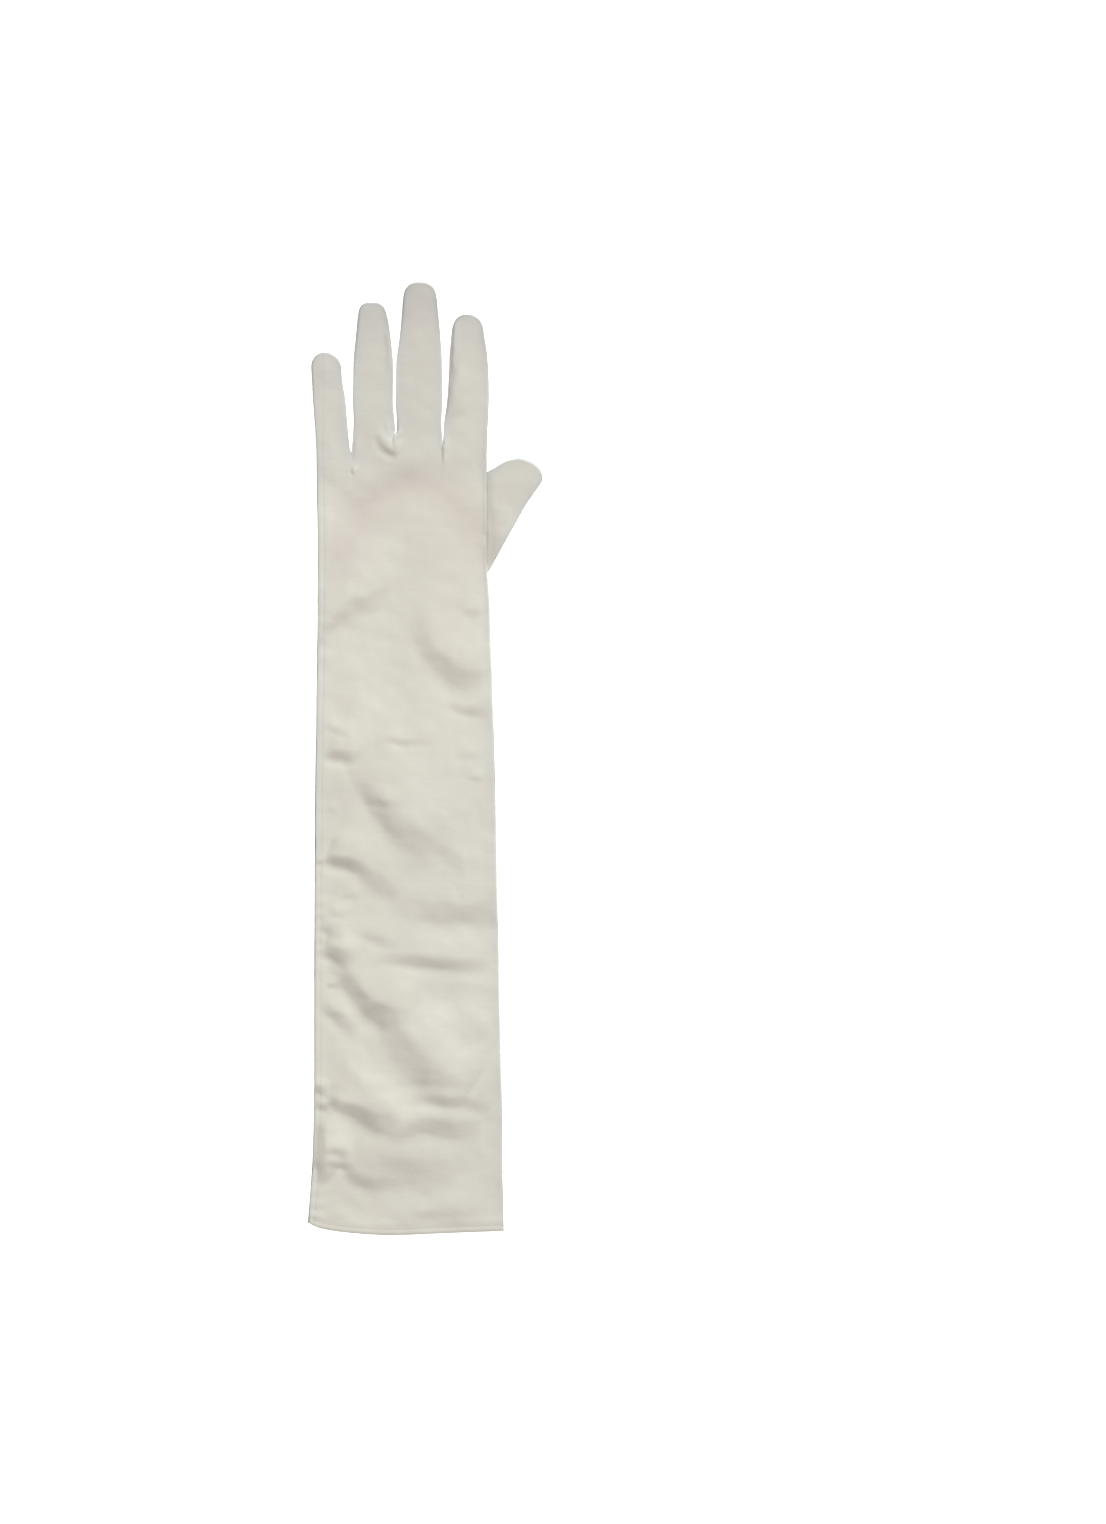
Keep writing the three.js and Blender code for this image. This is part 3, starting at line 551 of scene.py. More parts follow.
def finger_edges(index):
    """Side edges of a finger: curves from its two corners to its tip, drawn together over the
    rounded tip as a superellipse."""
    finger = FINGERS[index]
    left_corner, right_corner = CORNERS[index], CORNERS[index + 1]
    tip_y, tip_left, tip_right = finger.rows[-1]
    tip_x = (tip_left + tip_right) / 2
    left_rows = [(left_corner[1], left_corner[0], 0), *finger.rows]
    right_rows = [(right_corner[1], 0, right_corner[0]), *finger.rows]
    plain_left, plain_right = curve_through(left_rows, 1), curve_through(right_rows, 2)

    def narrowed(plain):
        """A plain edge, drawn together over the tip."""

        def edge(y):
            q = (y - (tip_y - finger.round)) / finger.round
            return tip_x + (plain(y) - tip_x) * rounded_end(q, finger.blunt)

        return edge

    return narrowed(plain_left), narrowed(plain_right), tip_y


finger_sides = [finger_edges(index) for index in range(4)]
thumb_from, thumb_to = THUMB_ROWS[0][0], THUMB_ROWS[-1][0]


def thumb_side(column, tip_round):
    """Side edge of the thumb, drawn together over its tip and its root as circles."""
    plain = curve_through(THUMB_ROWS, column)

    def edge(y):
        centre = mix(0, THUMB_TIP_X, (y - thumb_from) / (thumb_to - thumb_from))
        tip = rounded_end((y - (thumb_to - tip_round)) / tip_round, 2)
        root = rounded_end((thumb_from + THUMB_ROOT_ROUND - y) / THUMB_ROOT_ROUND, 2)
        return centre + (plain(y) - centre) * tip * root

    return edge


thumb_left, thumb_right = thumb_side(1, THUMB_ROUND_LEFT), thumb_side(2, THUMB_ROUND_RIGHT)


def glove_outline():
    """Outline of sleeve, hand and fingers, from below the hem's left end to below its right end."""
    climb = np.sin(np.linspace(0, math.pi / 2, FINGER_POINTS))
    sleeve_y = np.linspace(0, HAND_TOP, SIDE_POINTS)
    runs = [
        [(side_left(0), -PAST_HEM)],
        np.stack([side_left(sleeve_y), sleeve_y], axis=1),
    ]
    for index, (left, right, tip_y) in enumerate(finger_sides):
        up = mix(CORNERS[index, 1], tip_y, climb)
        down = mix(CORNERS[index + 1, 1], tip_y, climb)[::-1]
        runs.append(np.stack([left(up), up], axis=1))
        runs.append(np.stack([right(down), down], axis=1))
    runs.append(np.stack([side_right(sleeve_y), sleeve_y], axis=1)[::-1])
    runs.append([(side_right(0), -PAST_HEM)])
    return np.concatenate(runs)


def thumb_line():
    """Closed outline of the thumb in its own drawing."""
    y = mix(thumb_from, thumb_to, eased(np.linspace(0, math.pi, SIDE_POINTS)))
    up = np.stack([thumb_left(y), y], axis=1)
    down = np.stack([thumb_right(y), y], axis=1)[::-1]
    return np.concatenate([up, down])


outline = glove_outline()
thumb_outline = thumb_line()
turn_cos, turn_sin = math.cos(THUMB_TURN), math.sin(THUMB_TURN)


def in_thumb_drawing(x, y):
    """A point of the hand's drawing, turned into the thumb's."""
    dx, dy = x - THUMB_ROOT[0], y - THUMB_ROOT[1]
    return dx * turn_cos - dy * turn_sin, dx * turn_sin + dy * turn_cos


def from_thumb_drawing(x, y):
    """A point of the thumb's drawing, turned into the hand's."""
    return THUMB_ROOT[0] + x * turn_cos + y * turn_sin, THUMB_ROOT[1] + y * turn_cos - x * turn_sin


def thumb_lift(x, y):
    """Lift of the palm over the thumb: full inside the thumb's outline, an S-curve down beside it
    and up along its root."""
    px, py = in_thumb_drawing(x, y)
    within = (py > thumb_from) & (py < thumb_to) & (px > thumb_left(py)) & (px < thumb_right(py))
    beside = np.where(within, 0, from_line(thumb_outline, px, py))
    return PALM_LIFT * smooth(py, *RAMP) * (1 - smooth(beside, 0, LIFT_REACH))


def wave_field(seed, shortest, longest, count=28):
    """Soft random ground between about -1 and 1: a sum of plane waves with random directions,
    phases and lengths."""
    rng = np.random.default_rng(seed)
    angle, phase = rng.uniform(0, 2 * math.pi, (2, count))
    length = np.exp(rng.uniform(math.log(shortest), math.log(longest), count))

    def at(x, y):
        total = np.zeros_like(x)
        for a, p, size in zip(angle, phase, length):
            total += np.sin((x * math.cos(a) + y * math.sin(a)) * 2 * math.pi / size + p)
        return total / math.sqrt(count)

    return at


soft_ground = wave_field(11, 26, 80)
fine_ground = wave_field(23, 7, 22)
palm_ground = wave_field(37, 12, 60)
waver_across = wave_field(41, 9, 34)
waver_along = wave_field(43, 9, 34)


def fold_height(x, y):
    """Sum of the folds, whose lines waver a little with the ground. Across its line a fold is a
    flat flank between two softened bends, fading behind it as a bell curve, less a bell-shaped
    valley below it; along its line it swells as a sine to its peak."""
    height = np.zeros_like(x)
    x, y = x + FOLD_WAVER * waver_across(x, y), y + FOLD_WAVER * waver_along(x, y)
    for fold in FOLDS:
        line = cut_corners(fold.line)
        reach = 2 * fold.gentle + 2 * max(fold.flank)
        close = (x > line[:, 0].min() - reach) & (x < line[:, 0].max() + reach)
        close &= (y > line[:, 1].min() - reach) & (y < line[:, 1].max() + reach)
        across, share = beside_line(line, x[close], y[close])
        half = mix(fold.flank[0], fold.flank[1], share)
        bend = FLANK_BEND * half
        rise = 0.5 + (np.hypot(across + half, bend) - np.hypot(across - half, bend)) / (4 * half)
        slow = bell(np.maximum(across - half, 0), fold.gentle)
        valley = fold.valley * bell(across / half + VALLEY_PLACE, 1)
        climb = np.where(share < fold.peak, share / fold.peak, (1 - share) / (1 - fold.peak))
        swell = np.sin(np.clip(climb, 0, 1) * math.pi / 2)
        height[close] += fold.height * swell * (rise * slow - valley)
    return height


def pucker_height(x, y):
    """Small puckers that start at the side seam: waves along the seam whose height falls off to
    both sides as a bell curve. Slower waves along the seam change their spacing, reach and height,
    so that no two are alike."""
    step = y / PUCKER_STEP
    for size, length in PUCKER_SHIFTS:
        step = step + size * np.sin(y / length)
    reach = mix(*PUCKER_REACH, np.sin(y / PUCKER_SPREAD) ** 2)
    height = PUCKER_HEIGHT * (1 + np.sin(y / PUCKER_SWELL + 1)) * np.sin(2 * math.pi * step)
    return height * bell(x - side_left(y) - SIDE_SEAM, reach) * smooth(HAND_TOP - y, 0, PUCKER_FADE)


def seam_dip(x, y):
    """Dip of the side seam: a narrow bell curve across it."""
    depth, reach = SEAM_DIP
    return depth * bell(x - side_left(y) - SIDE_SEAM, reach) * smooth(HAND_TOP - y, 0, SEAM_FADE)


def near_tip(x, y):
    """How near a point is to the tip of its finger: an S-curve up the finger."""
    rows = [finger.rows[-1] for finger in FINGERS]
    tip_y = np.interp(x, [(left + right) / 2 for _, left, right in rows], [row[0] for row in rows])
    return smooth(y - tip_y, *TIP_TONE)


def knuckle_band(x, y):
    """How near a point is to the line of the knuckles: a bell curve across it."""
    away = from_line(cut_corners(KNUCKLES), x, y)
    return bell(away, KNUCKLE_REACH) * (1 - smooth(y, *KNUCKLE_END))


def painted_shade_tone(x, y):
    """How far painted shade darkens the satin, from 0 to 1: most over the fingertips, less over the
    fingers and the thumb, a little along both ends of the knuckles, and a little over the sleeve,
    more towards the thumb's side. Each part fades out along S-curves."""
    fingers = passing(x, SHADE_FINGERS) * smooth(y, *FINGER_TONE)
    tips = passing(x, SHADE_TIPS) * near_tip(x, y)
    beyond_hand = smooth(x - side_right(np.minimum(y, HAND_TOP)), *THUMB_TONE)
    thumb = SHADE_THUMB * beyond_hand * (y < HAND_TOP)
    arm = SHADE_ARM * (1 - smooth(x, *ARM_SIDE) * smooth(y, *ARM_END))
    arm += passing(x, SHADE_SLEEVE) * (1 - smooth(y, *SLEEVE_END))
    arm *= smooth(x - side_left(np.clip(y, 0, HAND_TOP)), *SEAM_BARE) * (1 - smooth(y, *HAND_END))
    knuckles = passing(x, SHADE_KNUCKLES) * knuckle_band(x, y)
    knuckles *= 1 - smooth(y, *KNUCKLE_SHADE_END)
    return np.clip(np.maximum(fingers + tips, thumb) + knuckles + arm, 0, 1)


def pink_shade_tone(x, y):
    """Painted pink shade, from 0 to 1: across the knuckles, and less on the middle finger's tip."""
    centre, reach = MIDDLE_FINGER
    tip = bell(x - centre, reach) * near_tip(x, y)
    return np.maximum(PINK_SHADE_KNUCKLES * knuckle_band(x, y), PINK_SHADE_TIP * tip)


def edge_tones(x, y):
    """Cool painted shade along the side edges of the hand and the thumb, and painted shade on the
    rim where the satin turns over the fingertips and the thumb's upper edge, each from 0 to 1: bell
    curves of the distance from the outline."""
    on_thumb = (x > side_right(np.clip(y, 0, HAND_TOP))) & (y < HAND_TOP)
    from_thumb = from_line(thumb_outline, *in_thumb_drawing(x, y))
    away = np.where(on_thumb, from_thumb, from_line(outline, x, y))
    turned = np.where(on_thumb, smooth(y, *THUMB_RIM_SHADE), near_tip(x, y))
    return bell(away, COOL_SHADE_REACH), turned * bell(away, RIM_SHADE_REACH)


def hem_ledge(y_above_hem):
    """Low step where the turned hem ends inside, an S-curve down, and a dip along the row of
    stitches, a bell curve across it."""
    step = HEM_STEP * (1 - smooth(y_above_hem, *HEM_LEDGE))
    depth, reach = HEM_DIP
    return step - depth * bell(y_above_hem - HEM_LINE, reach)


def layers(x, y, web, on_edge, above_hem):
    """Heights of the back and of the palm over points of the drawing. From the outline inwards
    the back rises as a quarter ellipse and then to a low crown, and the folds, puckers and soft
    ground are laid over it; the palm comes down to the table the same way."""
    inward = np.where(on_edge, 0, from_line(outline, x, y))
    puff = shoulder(inward / EDGE_ROUND)
    lift = thumb_lift(x, y)
    follow = mix(1, BACK_FOLLOWS, smooth(inward, 0, 2 * EDGE_ROUND))
    crown = SLEEVE_CROWN * smooth(inward, 0, CROWN_REACH)
    ground = SOFT_GROUND * soft_ground(x, y) + FINE_GROUND * fine_ground(x, y)
    detail = fold_height(x, y) + ground + pucker_height(x, y) - seam_dip(x, y)
    detail += hem_ledge(above_hem)
    swell = web + (BACK_RISE - web) * puff + crown + detail * puff
    below = CREASE_HEIGHT + lift - web - (CREASE_HEIGHT - web) * puff
    palm_ripple = PALM_RIPPLE[0] + PALM_RIPPLE[1] * palm_ground(x, y)
    return CREASE_HEIGHT + lift * follow + swell, below + np.maximum(palm_ripple, 0) * puff


def hand_point(share, rise):
    """Point of the drawing in the sleeve and hand: share runs across and rise from hem to roots.
    Rows are straight between the side edges, bent to the hem's sag and to the fingers' roots by
    powers of the way from the other end."""
    left_y, right_y = mix(HEM_ENDS[0], HAND_TOP, rise), mix(HEM_ENDS[1], HAND_TOP, rise)
    corner_rise = np.interp(share, corner_shares, CORNERS[:, 1]) - HAND_TOP
    x = mix(side_left(left_y), side_right(right_y), share)
    y = mix(left_y, right_y, share) - hem_drop(share) * (1 - rise) ** HEM_BEND
    return x, y + corner_rise * rise**CORNER_BEND


def palm_web(share, rise):
    """Height of the strips between the fingers, carried on into the palm and faded out as an
    S-curve."""
    fade = smooth(rise, 1 - WEB_FADE / HAND_TOP, 1)
    return fade * np.interp(share, corner_shares, FINGER_WEB * np.array([0, 1, 1, 1, 0]))


def gathered(cells):
    """Columns across a finger, closer together at its sides: part even, part cosine."""
    even = np.linspace(0, 1, cells + 1)
    return mix(even, eased(even * math.pi), SIDE_GATHER)


def hand_rises():
    """Rows of the sleeve and hand: even, and closer together by the roots of the fingers."""
    low = np.linspace(0, ROOT_ROWS_FROM, HAND_RISES + 1)
    return np.concatenate([low, np.linspace(ROOT_ROWS_FROM, 1, ROOT_RISES + 1)[1:]])


def hand_grid(strip, cells, layer):
    """One finger's width of the back, layer 0, or of the palm, layer 1, from the hem up to the
    finger's root."""
    rise, column = np.meshgrid(hand_rises(), gathered(cells), indexing="ij")
    across = (strip + np.linspace(0, 1, cells + 1)[None, :]) / 4
    in_sleeve = mix(across, eased(across * math.pi), SLEEVE_GATHER)
    at_root = mix(corner_shares[strip], corner_shares[strip + 1], column)
    share = mix(in_sleeve, at_root, smooth(rise, COLUMNS_GATHER, 1))
    x, y = hand_point(share, rise)
    at_side = np.zeros(x.shape, bool)
    if strip == 0:
        at_side[:, 0] = True
    if strip == 3:
        at_side[:, -1] = True
    at_side[-1, [0, -1]] = True
    above_hem = y - hand_point(share, np.zeros_like(rise))[1]
    z = layers(x, y, palm_web(share, rise), at_side, above_hem)[layer]
    return np.stack([x, y, z], axis=-1)


def web_height(climb):
    """Half height of the strip beside a finger: full at the root, running out to a point as a
    cubic."""
    return FINGER_WEB * (1 - np.clip(climb / STRIP_END, 0, 1) ** 3)


def finger_climbs():
    """Rows up a finger: even along the strips, closer together round the tip."""
    low = np.linspace(0, STRIP_END, FINGER_CLIMBS + 1)
    tip = mix(STRIP_END, 1, np.sin(np.linspace(0, math.pi / 2, TIP_CLIMBS + 1)))
    return np.concatenate([low, tip[1:]])


def finger_row_ends(strip, climb):
    """Left and right end of a finger's rows, as x and y each."""
    left, right, tip_y = finger_sides[strip]
    left_y = mix(CORNERS[strip, 1], tip_y, climb)
    right_y = mix(CORNERS[strip + 1, 1], tip_y, climb)
    return left(left_y), left_y, right(right_y), right_y


def finger_grid(strip, cells, layer):
    """One face of a finger, layer 0 for the back and 1 for the palm: straight rows between its side
    edges, from the root to the tip."""
    climb, column = np.meshgrid(finger_climbs(), gathered(cells), indexing="ij")
    left_x, left_y, right_x, right_y = finger_row_ends(strip, climb)
    x, y = mix(left_x, right_x, column), mix(left_y, right_y, column)
    web = web_height(climb)
    left_web, right_web = web * (strip > 0), web * (strip < 3)
    on_edge = (column == 0) | (column == 1) | (climb == 1)
    z = layers(x, y, mix(left_web, right_web, column), on_edge, y)[layer]
    return np.stack([x, y, z], axis=-1)


def strip_grid(strip, to_right):
    """The side of a finger that a fourchette covers. Across it a fourchette is hollowed by a
    parabola, because it folds inwards when the glove lies flat."""
    climbs = finger_climbs()[: FINGER_CLIMBS + 1]
    climb, level = np.meshgrid(climbs, np.linspace(1, -1, STRIP_CELLS + 1), indexing="ij")
    left_x, left_y, right_x, right_y = finger_row_ends(strip, climb)
    x, y = (right_x, right_y) if to_right else (left_x, left_y)
    half = web_height(climb)
    half = half - np.minimum(SEAM_GAP, half / 4)
    fold = FOURCHETTE_FOLD * half / FINGER_WEB
    hollow = fold * (1 - level**2) * smooth(climb, 0, FOLD_STARTS)
    base = CREASE_HEIGHT + thumb_lift(x, y)
    return np.stack([x + hollow * (-1 if to_right else 1), y, base + half * level], axis=-1)


def thumb_grid(layer):
    """One face of the thumb: a quarter ellipse from its crease inwards, kept below the palm's
    underside where the palm comes down over its root."""
    rows = mix(thumb_from, thumb_to, eased(np.linspace(0, math.pi, THUMB_CELLS[0] + 1)))
    py, column = np.meshgrid(rows, gathered(THUMB_CELLS[1]), indexing="ij")
    px = mix(thumb_left(py), thumb_right(py), column)
    x, y = from_thumb_drawing(px, py)
    on_edge = (column == 0) | (column == 1) | (py <= thumb_from) | (py >= thumb_to)
    puff = np.where(on_edge, 0, shoulder(from_line(thumb_outline, px, py) / THUMB_ROUND))
    ground = SOFT_GROUND * soft_ground(x + THUMB_GROUND, y) + FINE_GROUND * fine_ground(x, y)
    seam_height, seam_reach = THUMB_SEAM
    seam = seam_height * bell(px - mix(*THUMB_SEAM_LINE, py / thumb_to), seam_reach)
    palm = layers(x, y, np.zeros_like(x), np.zeros(x.shape, bool), y)[1]
    seat = np.maximum(palm - PALM_CLEAR, 0)
    crease = mix(seat, THUMB_CREASE, smooth(py, thumb_from, thumb_from + THUMB_SWELLS))
    beside = np.maximum(x - side_right(np.minimum(y, HAND_TOP)), 0)
    dip = THUMB_DIP * bell(beside, mix(*THUMB_DIP_REACH, smooth(y, *THUMB_DIP_NARROWS)))
    z = mix(crease, THUMB_TOP + ground - dip if layer == 0 else THUMB_FLOOR + seam, puff)
    under_hand = x < side_right(y) - SEATED_INSIDE
    z = np.where(under_hand, np.minimum(z, seat), z)
    return np.stack([x, y, z], axis=-1)


def grid_faces(shape, start, turned=False):
    """Four-sided faces of a grid of points numbered from start, row after row. turned swaps their
    winding, for a surface seen from the other side."""
    ids = start + np.arange(shape[0] * shape[1]).reshape(shape)
    corners = [ids[:-1, :-1], ids[:-1, 1:], ids[1:, 1:], ids[1:, :-1]]
    faces = np.stack(corners, axis=-1).reshape(-1, 4)
    return faces[:, ::-1] if turned else faces


def welded(grids):
    """Joins grids of points, each with a flag for turned faces, into one surface whose shared
    points are merged; faces that shrink to a line are dropped."""
    points, faces, start = [], [], 0
    for grid, turned in grids:
        faces.append(grid_faces(grid.shape[:2], start, turned))
        points.append(grid.reshape(-1, 3))
        start += len(points[-1])
    points, faces = np.concatenate(points), np.concatenate(faces)
    keys = np.round(points * MERGE_STEPS + MERGE_OFFSET).astype(np.int64)
    _, first, number = np.unique(keys, axis=0, return_index=True, return_inverse=True)
    faces = number.reshape(-1)[faces]
    return points[first], faces[distinct_corners(faces) > 2]


def distinct_corners(faces):
    """How many different points each four-sided face has."""
    ordered = np.sort(faces, axis=1)
    return 1 + (np.diff(ordered, axis=1) > 0).sum(axis=1)


def point_normals(points, faces):
    """Unit normal of each point: the sum of the cross products of its faces' diagonals."""
    a, b, c, d = (points[faces[:, i]] for i in range(4))
    area = np.cross(c - a, d - b)
    total = np.zeros_like(points)
    for i in range(4):
        np.add.at(total, faces[:, i], area)
    return unit(total)


def open_edges(faces):
    """Edges that only one face uses, in that face's direction."""
    edges = np.concatenate([faces[:, [i, (i + 1) % 4]] for i in range(4)])
    edges = edges[edges[:, 0] != edges[:, 1]]
    size = faces.max() + 1
    forward, backward = edges[:, 0] * size + edges[:, 1], edges[:, 1] * size + edges[:, 0]
    return edges[~np.isin(forward, backward)]


def with_wall(points, faces, wall):
    """Gives a surface of cloth its thickness: an inner surface at wall below it along the
    normals, and a half-round edge, in ROUND_STEPS steps, wherever the surface is open."""
    normals = point_normals(points, faces)
    count = len(points)
    inner = points - normals * wall[:, None]
    rim = open_edges(faces)
    out = np.zeros_like(points)
    direction = np.cross(points[rim[:, 1]] - points[rim[:, 0]], normals[rim[:, 0]])
    np.add.at(out, rim[:, 0], direction)
    np.add.at(out, rim[:, 1], direction)
    out = unit(out)
    rim_ids = np.unique(rim)
    place = np.full(count, -1)
    place[rim_ids] = np.arange(len(rim_ids))
    middle = (points[rim_ids] + inner[rim_ids]) / 2
    half = wall[rim_ids, None] / 2
    rings, numbers = [], [np.arange(count)]
    for step in range(1, ROUND_STEPS):
        angle = math.pi * step / ROUND_STEPS
        away = normals[rim_ids] * math.cos(angle) + out[rim_ids] * math.sin(angle)
        rings.append(middle + half * away)
        numbers.append(np.where(place >= 0, 2 * count + (step - 1) * len(rim_ids) + place, -1))
    numbers.append(np.arange(count) + count)
    edge_faces = []
    for upper, lower in zip(numbers[:-1], numbers[1:]):
        a, b = rim[:, 0], rim[:, 1]
        edge_faces.append(np.stack([upper[b], upper[a], lower[a], lower[b]], axis=1))
    everything = np.concatenate([points, inner, *rings])
    lining = faces[:, ::-1] + count
    return everything, np.concatenate([faces, lining, *edge_faces])


def drawing_shift():
    """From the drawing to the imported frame: across, the middles of both boxes are laid together,
    along the glove the tips of the middle finger, and below the table's side."""
    tip_x, _ = from_thumb_drawing(thumb_outline[:, 0], thumb_outline[:, 1])
    left, right = side_left(HEM_ENDS[0]), tip_x.max()
    top = FINGERS[2].rows[-1][0]
    low, high = cad_box
    return np.array([(low.x + high.x) / 2 / MM - (left + right) / 2, high.y / MM - top, low.z / MM])


shift = drawing_shift()


def new_object(name, data):
    """Puts a mesh, a light or a camera into the scene."""
    made = bpy.data.objects.new(name, data)
    bpy.context.scene.collection.objects.link(made)
    return made


def make_piece(name, points, faces, nodes, values=None):
    """Mesh object in metres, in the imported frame, with smooth faces, a UV map of the drawing in
    tenths of a metre and one attribute for each named array of values."""
    corners = [
        list(dict.fromkeys(face)) if count < 4 else face
        for face, count in zip(faces.tolist(), distinct_corners(faces))
    ]
    mesh = bpy.data.meshes.new(name)
    mesh.from_pydata(((points + shift) * MM).astype(np.float32), [], corners)
    mesh.validate()
    mesh.shade_smooth()
    uv = mesh.uv_layers.new(name="drawing")
    vertex = np.empty(len(mesh.loops), np.int32)
    mesh.loops.foreach_get("vertex_index", vertex)
    uv.data.foreach_set("uv", (points[vertex, :2] / 100).astype(np.float32).ravel())
    x, y = points[:, 0], points[:, 1]
    # Painted shade: for each tone, how far it darkens the satin at each point
    cool_shade, rim = edge_tones(x, y)
    tones = {"painted_shade": painted_shade_tone(x, y), "pink_shade": pink_shade_tone(x, y), "cool_shade": cool_shade, "rim": rim}
    for label, array in {**tones, **(values or {})}.items():
        attribute = mesh.attributes.new(label, "FLOAT", "POINT")
        attribute.data.foreach_set("value", array.astype(np.float32))
    piece = new_object(name, mesh)
    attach(piece, "root")
    if nodes:
        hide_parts(*nodes)
    return piece


def height_above_hem(points):
    """Height of points of the sleeve above the hem's edge below them."""
    left, right = side_left(points[:, 1]), side_right(points[:, 1])
    share = np.clip((points[:, 0] - left) / (right - left), 0, 1)
    return points[:, 1] - hand_point(share, np.zeros(len(points)))[1]


def trank():
    """The main cut of satin: sleeve, both sides of the hand and both faces of the fingers."""
    grids = []
    for strip in range(4):
        for cells, layer in ((BACK_CELLS, 0), (PALM_CELLS, 1)):
            grids.append((hand_grid(strip, cells, layer), layer == 1))
            grids.append((finger_grid(strip, cells, layer), layer == 1))
    points, faces = welded(grids)
    x, y, _ = points[faces].mean(axis=1).T
    left, right, low, high = PALM_HOLE
    in_hole = (x > left) & (x < right) & (y > low) & (y < high)
    lying = point_normals(points, faces)[faces[:, 0], 2] < 0
    faces = faces[~(in_hole & lying)]
    past_hem = smooth(height_above_hem(points), HEM_TURNED - HEM_FADE, HEM_TURNED + HEM_FADE)
    points, faces = with_wall(points, faces, mix(HEM_WALL, WALL, past_hem))
    from_seam = points[:, 0] - side_left(points[:, 1]) - SIDE_SEAM
    from_seam = np.where(points[:, 2] > CREASE_HEIGHT, from_seam, FAR)
    values = {"from_seam": from_seam, "above_hem": height_above_hem(points)}
    return make_piece("trank", points, faces, ["glove_body"], values)


def fourchette(between):
    """The strip between two fingers: down the side of one and up the side of the next."""
    grids = [(strip_grid(between, True), True), (strip_grid(between + 1, False), False)]
    points, faces = welded(grids)
    roots = min(CORNERS[between + 1, 1], HAND_TOP)
    tips = min(FINGERS[between].rows[-1][0], FINGERS[between + 1].rows[-1][0])
    thinned = smooth(points[:, 1], (roots + tips) / 2, mix(roots, tips, STRIP_END))
    points, faces = with_wall(points, faces, mix(WALL, STRIP_THIN, thinned))
    name = STRIP_NAMES[between]
    return make_piece(name.replace("fourchette", "strip"), points, faces, [name])


def thumb_tube():
    """The thumb, with the hole in its top through which it opens into the palm."""
    points, faces = welded([(thumb_grid(0), False), (thumb_grid(1), True)])
    middle = points[faces].mean(axis=1)
    px, py = in_thumb_drawing(middle[:, 0], middle[:, 1])
    along = (py - thumb_from) / (thumb_to - thumb_from)
    across = (px - thumb_left(py)) / np.maximum(thumb_right(py) - thumb_left(py), 1e-6)
    in_hole = (along > THUMB_HOLE_ROWS[0]) & (along < THUMB_HOLE_ROWS[1])
    in_hole &= (across > THUMB_HOLE_COLUMNS[0]) & (across < THUMB_HOLE_COLUMNS[1])
    upper = point_normals(points, faces)[faces[:, 0], 2] > 0
    faces = faces[~(in_hole & upper)]
    points, faces = with_wall(points, faces, np.full(len(points), WALL))
    return make_piece("thumb_tube", points, faces, ["thumb"])


def hem_stitches():
    """Row of machine stitches round the turned hem: each is a spindle, whose width follows a sine
    along its length, half sunk in the cloth and turned along it."""
    cells_along, cells_round = STITCH_CELLS
    turn, along = np.meshgrid(
        np.linspace(0, 2 * math.pi, cells_round + 1), np.linspace(0, math.pi, cells_along + 1)
    )
    turn, along = turn[..., None], along[..., None]
    count = int((side_right(0) - side_left(0)) / STITCH_STEP)
    share, rise = (np.arange(count) + 0.5) / count, np.full(count, HEM_LINE / HAND_TOP)
    flat, inside, level = np.zeros(count), np.zeros(count, bool), np.full(count, HEM_LINE)
    grids = []
    for layer, outward in ((0, 1), (1, -1)):
        x, y = hand_point(share, rise)
        ahead_x, ahead_y = hand_point(share + STITCH_AHEAD, rise)
        z = layers(x, y, flat, inside, level)[layer]
        ahead_z = layers(ahead_x, ahead_y, flat, inside, level)[layer]
        run = unit(np.stack([ahead_x - x, ahead_y - y, ahead_z - z], axis=1))
        out = unit(np.cross([0, outward, 0], run))
        centre = np.stack([x, y, z - outward * STITCH_SUNK], axis=1)
        for c, r, o, b in zip(centre, run, out, np.cross(out, run)):
            outward_part = STITCH_THREAD / 2 * np.sin(along) * (o * np.cos(turn) + b * np.sin(turn))
            grids.append((c + r * STITCH_LENGTH / 2 * np.cos(along) + outward_part, False))
    points, faces = welded(grids)
    return make_piece("hem_stitches", points, faces, [])


class Nodes:
    """Short ways to add and join the nodes of a material or a node group."""

    def __init__(self, tree):
        self.tree = tree

    def fill(self, node, inputs):
        """Gives inputs of a node a value, or a link from a socket."""
        for name, value in inputs.items():
            if isinstance(value, bpy.types.NodeSocket):
                self.tree.links.new(value, node.inputs[name])
            else:
                node.inputs[name].default_value = value
        return node

    def add(self, kind, inputs=None, **settings):
        """A new node with its settings and inputs."""
        node = self.tree.nodes.new(kind)
        for name, value in settings.items():
            setattr(node, name, value)
        return self.fill(node, inputs or {})

    def math(self, operation, *values, clamp=False):
        """Result of a Math node."""
        inputs = dict(enumerate(values))
        return self.add("ShaderNodeMath", inputs, operation=operation, use_clamp=clamp).outputs[0]

    def attribute(self, name):
        """Value that the mesh holds for each point."""
        return self.add("ShaderNodeAttribute", attribute_name=name).outputs["Fac"]

    def scaled(self, colour, factor):
        """A colour times a number."""
        inputs = {0: colour, "Scale": factor}
        return self.add("ShaderNodeVectorMath", inputs, operation="SCALE").outputs[0]

    def toned(self, attribute, colour, left):
        """A colour, of which the part given by left stays where an attribute of the mesh is 1."""
        inputs = {"Factor": self.attribute(attribute)}
        mixed = self.add("ShaderNodeMix", inputs, data_type="RGBA", blend_type="MULTIPLY")
        first, last = (i for i, socket in enumerate(mixed.inputs) if socket.type == "RGBA")
        self.fill(mixed, {first: colour, last: (*left, 1)})
        return next(socket for socket in mixed.outputs if socket.type == "RGBA")

    def noise(self, place, grain, detail):
        """Noise whose grain is 1 over grain metres along each axis."""
        vector = self.add("ShaderNodeMapping", {"Vector": place, "Scale": grain}).outputs[0]
        inputs = {"Vector": vector, "Scale": 1.0, "Detail": detail}
        return self.add("ShaderNodeTexNoise", inputs).outputs[0]


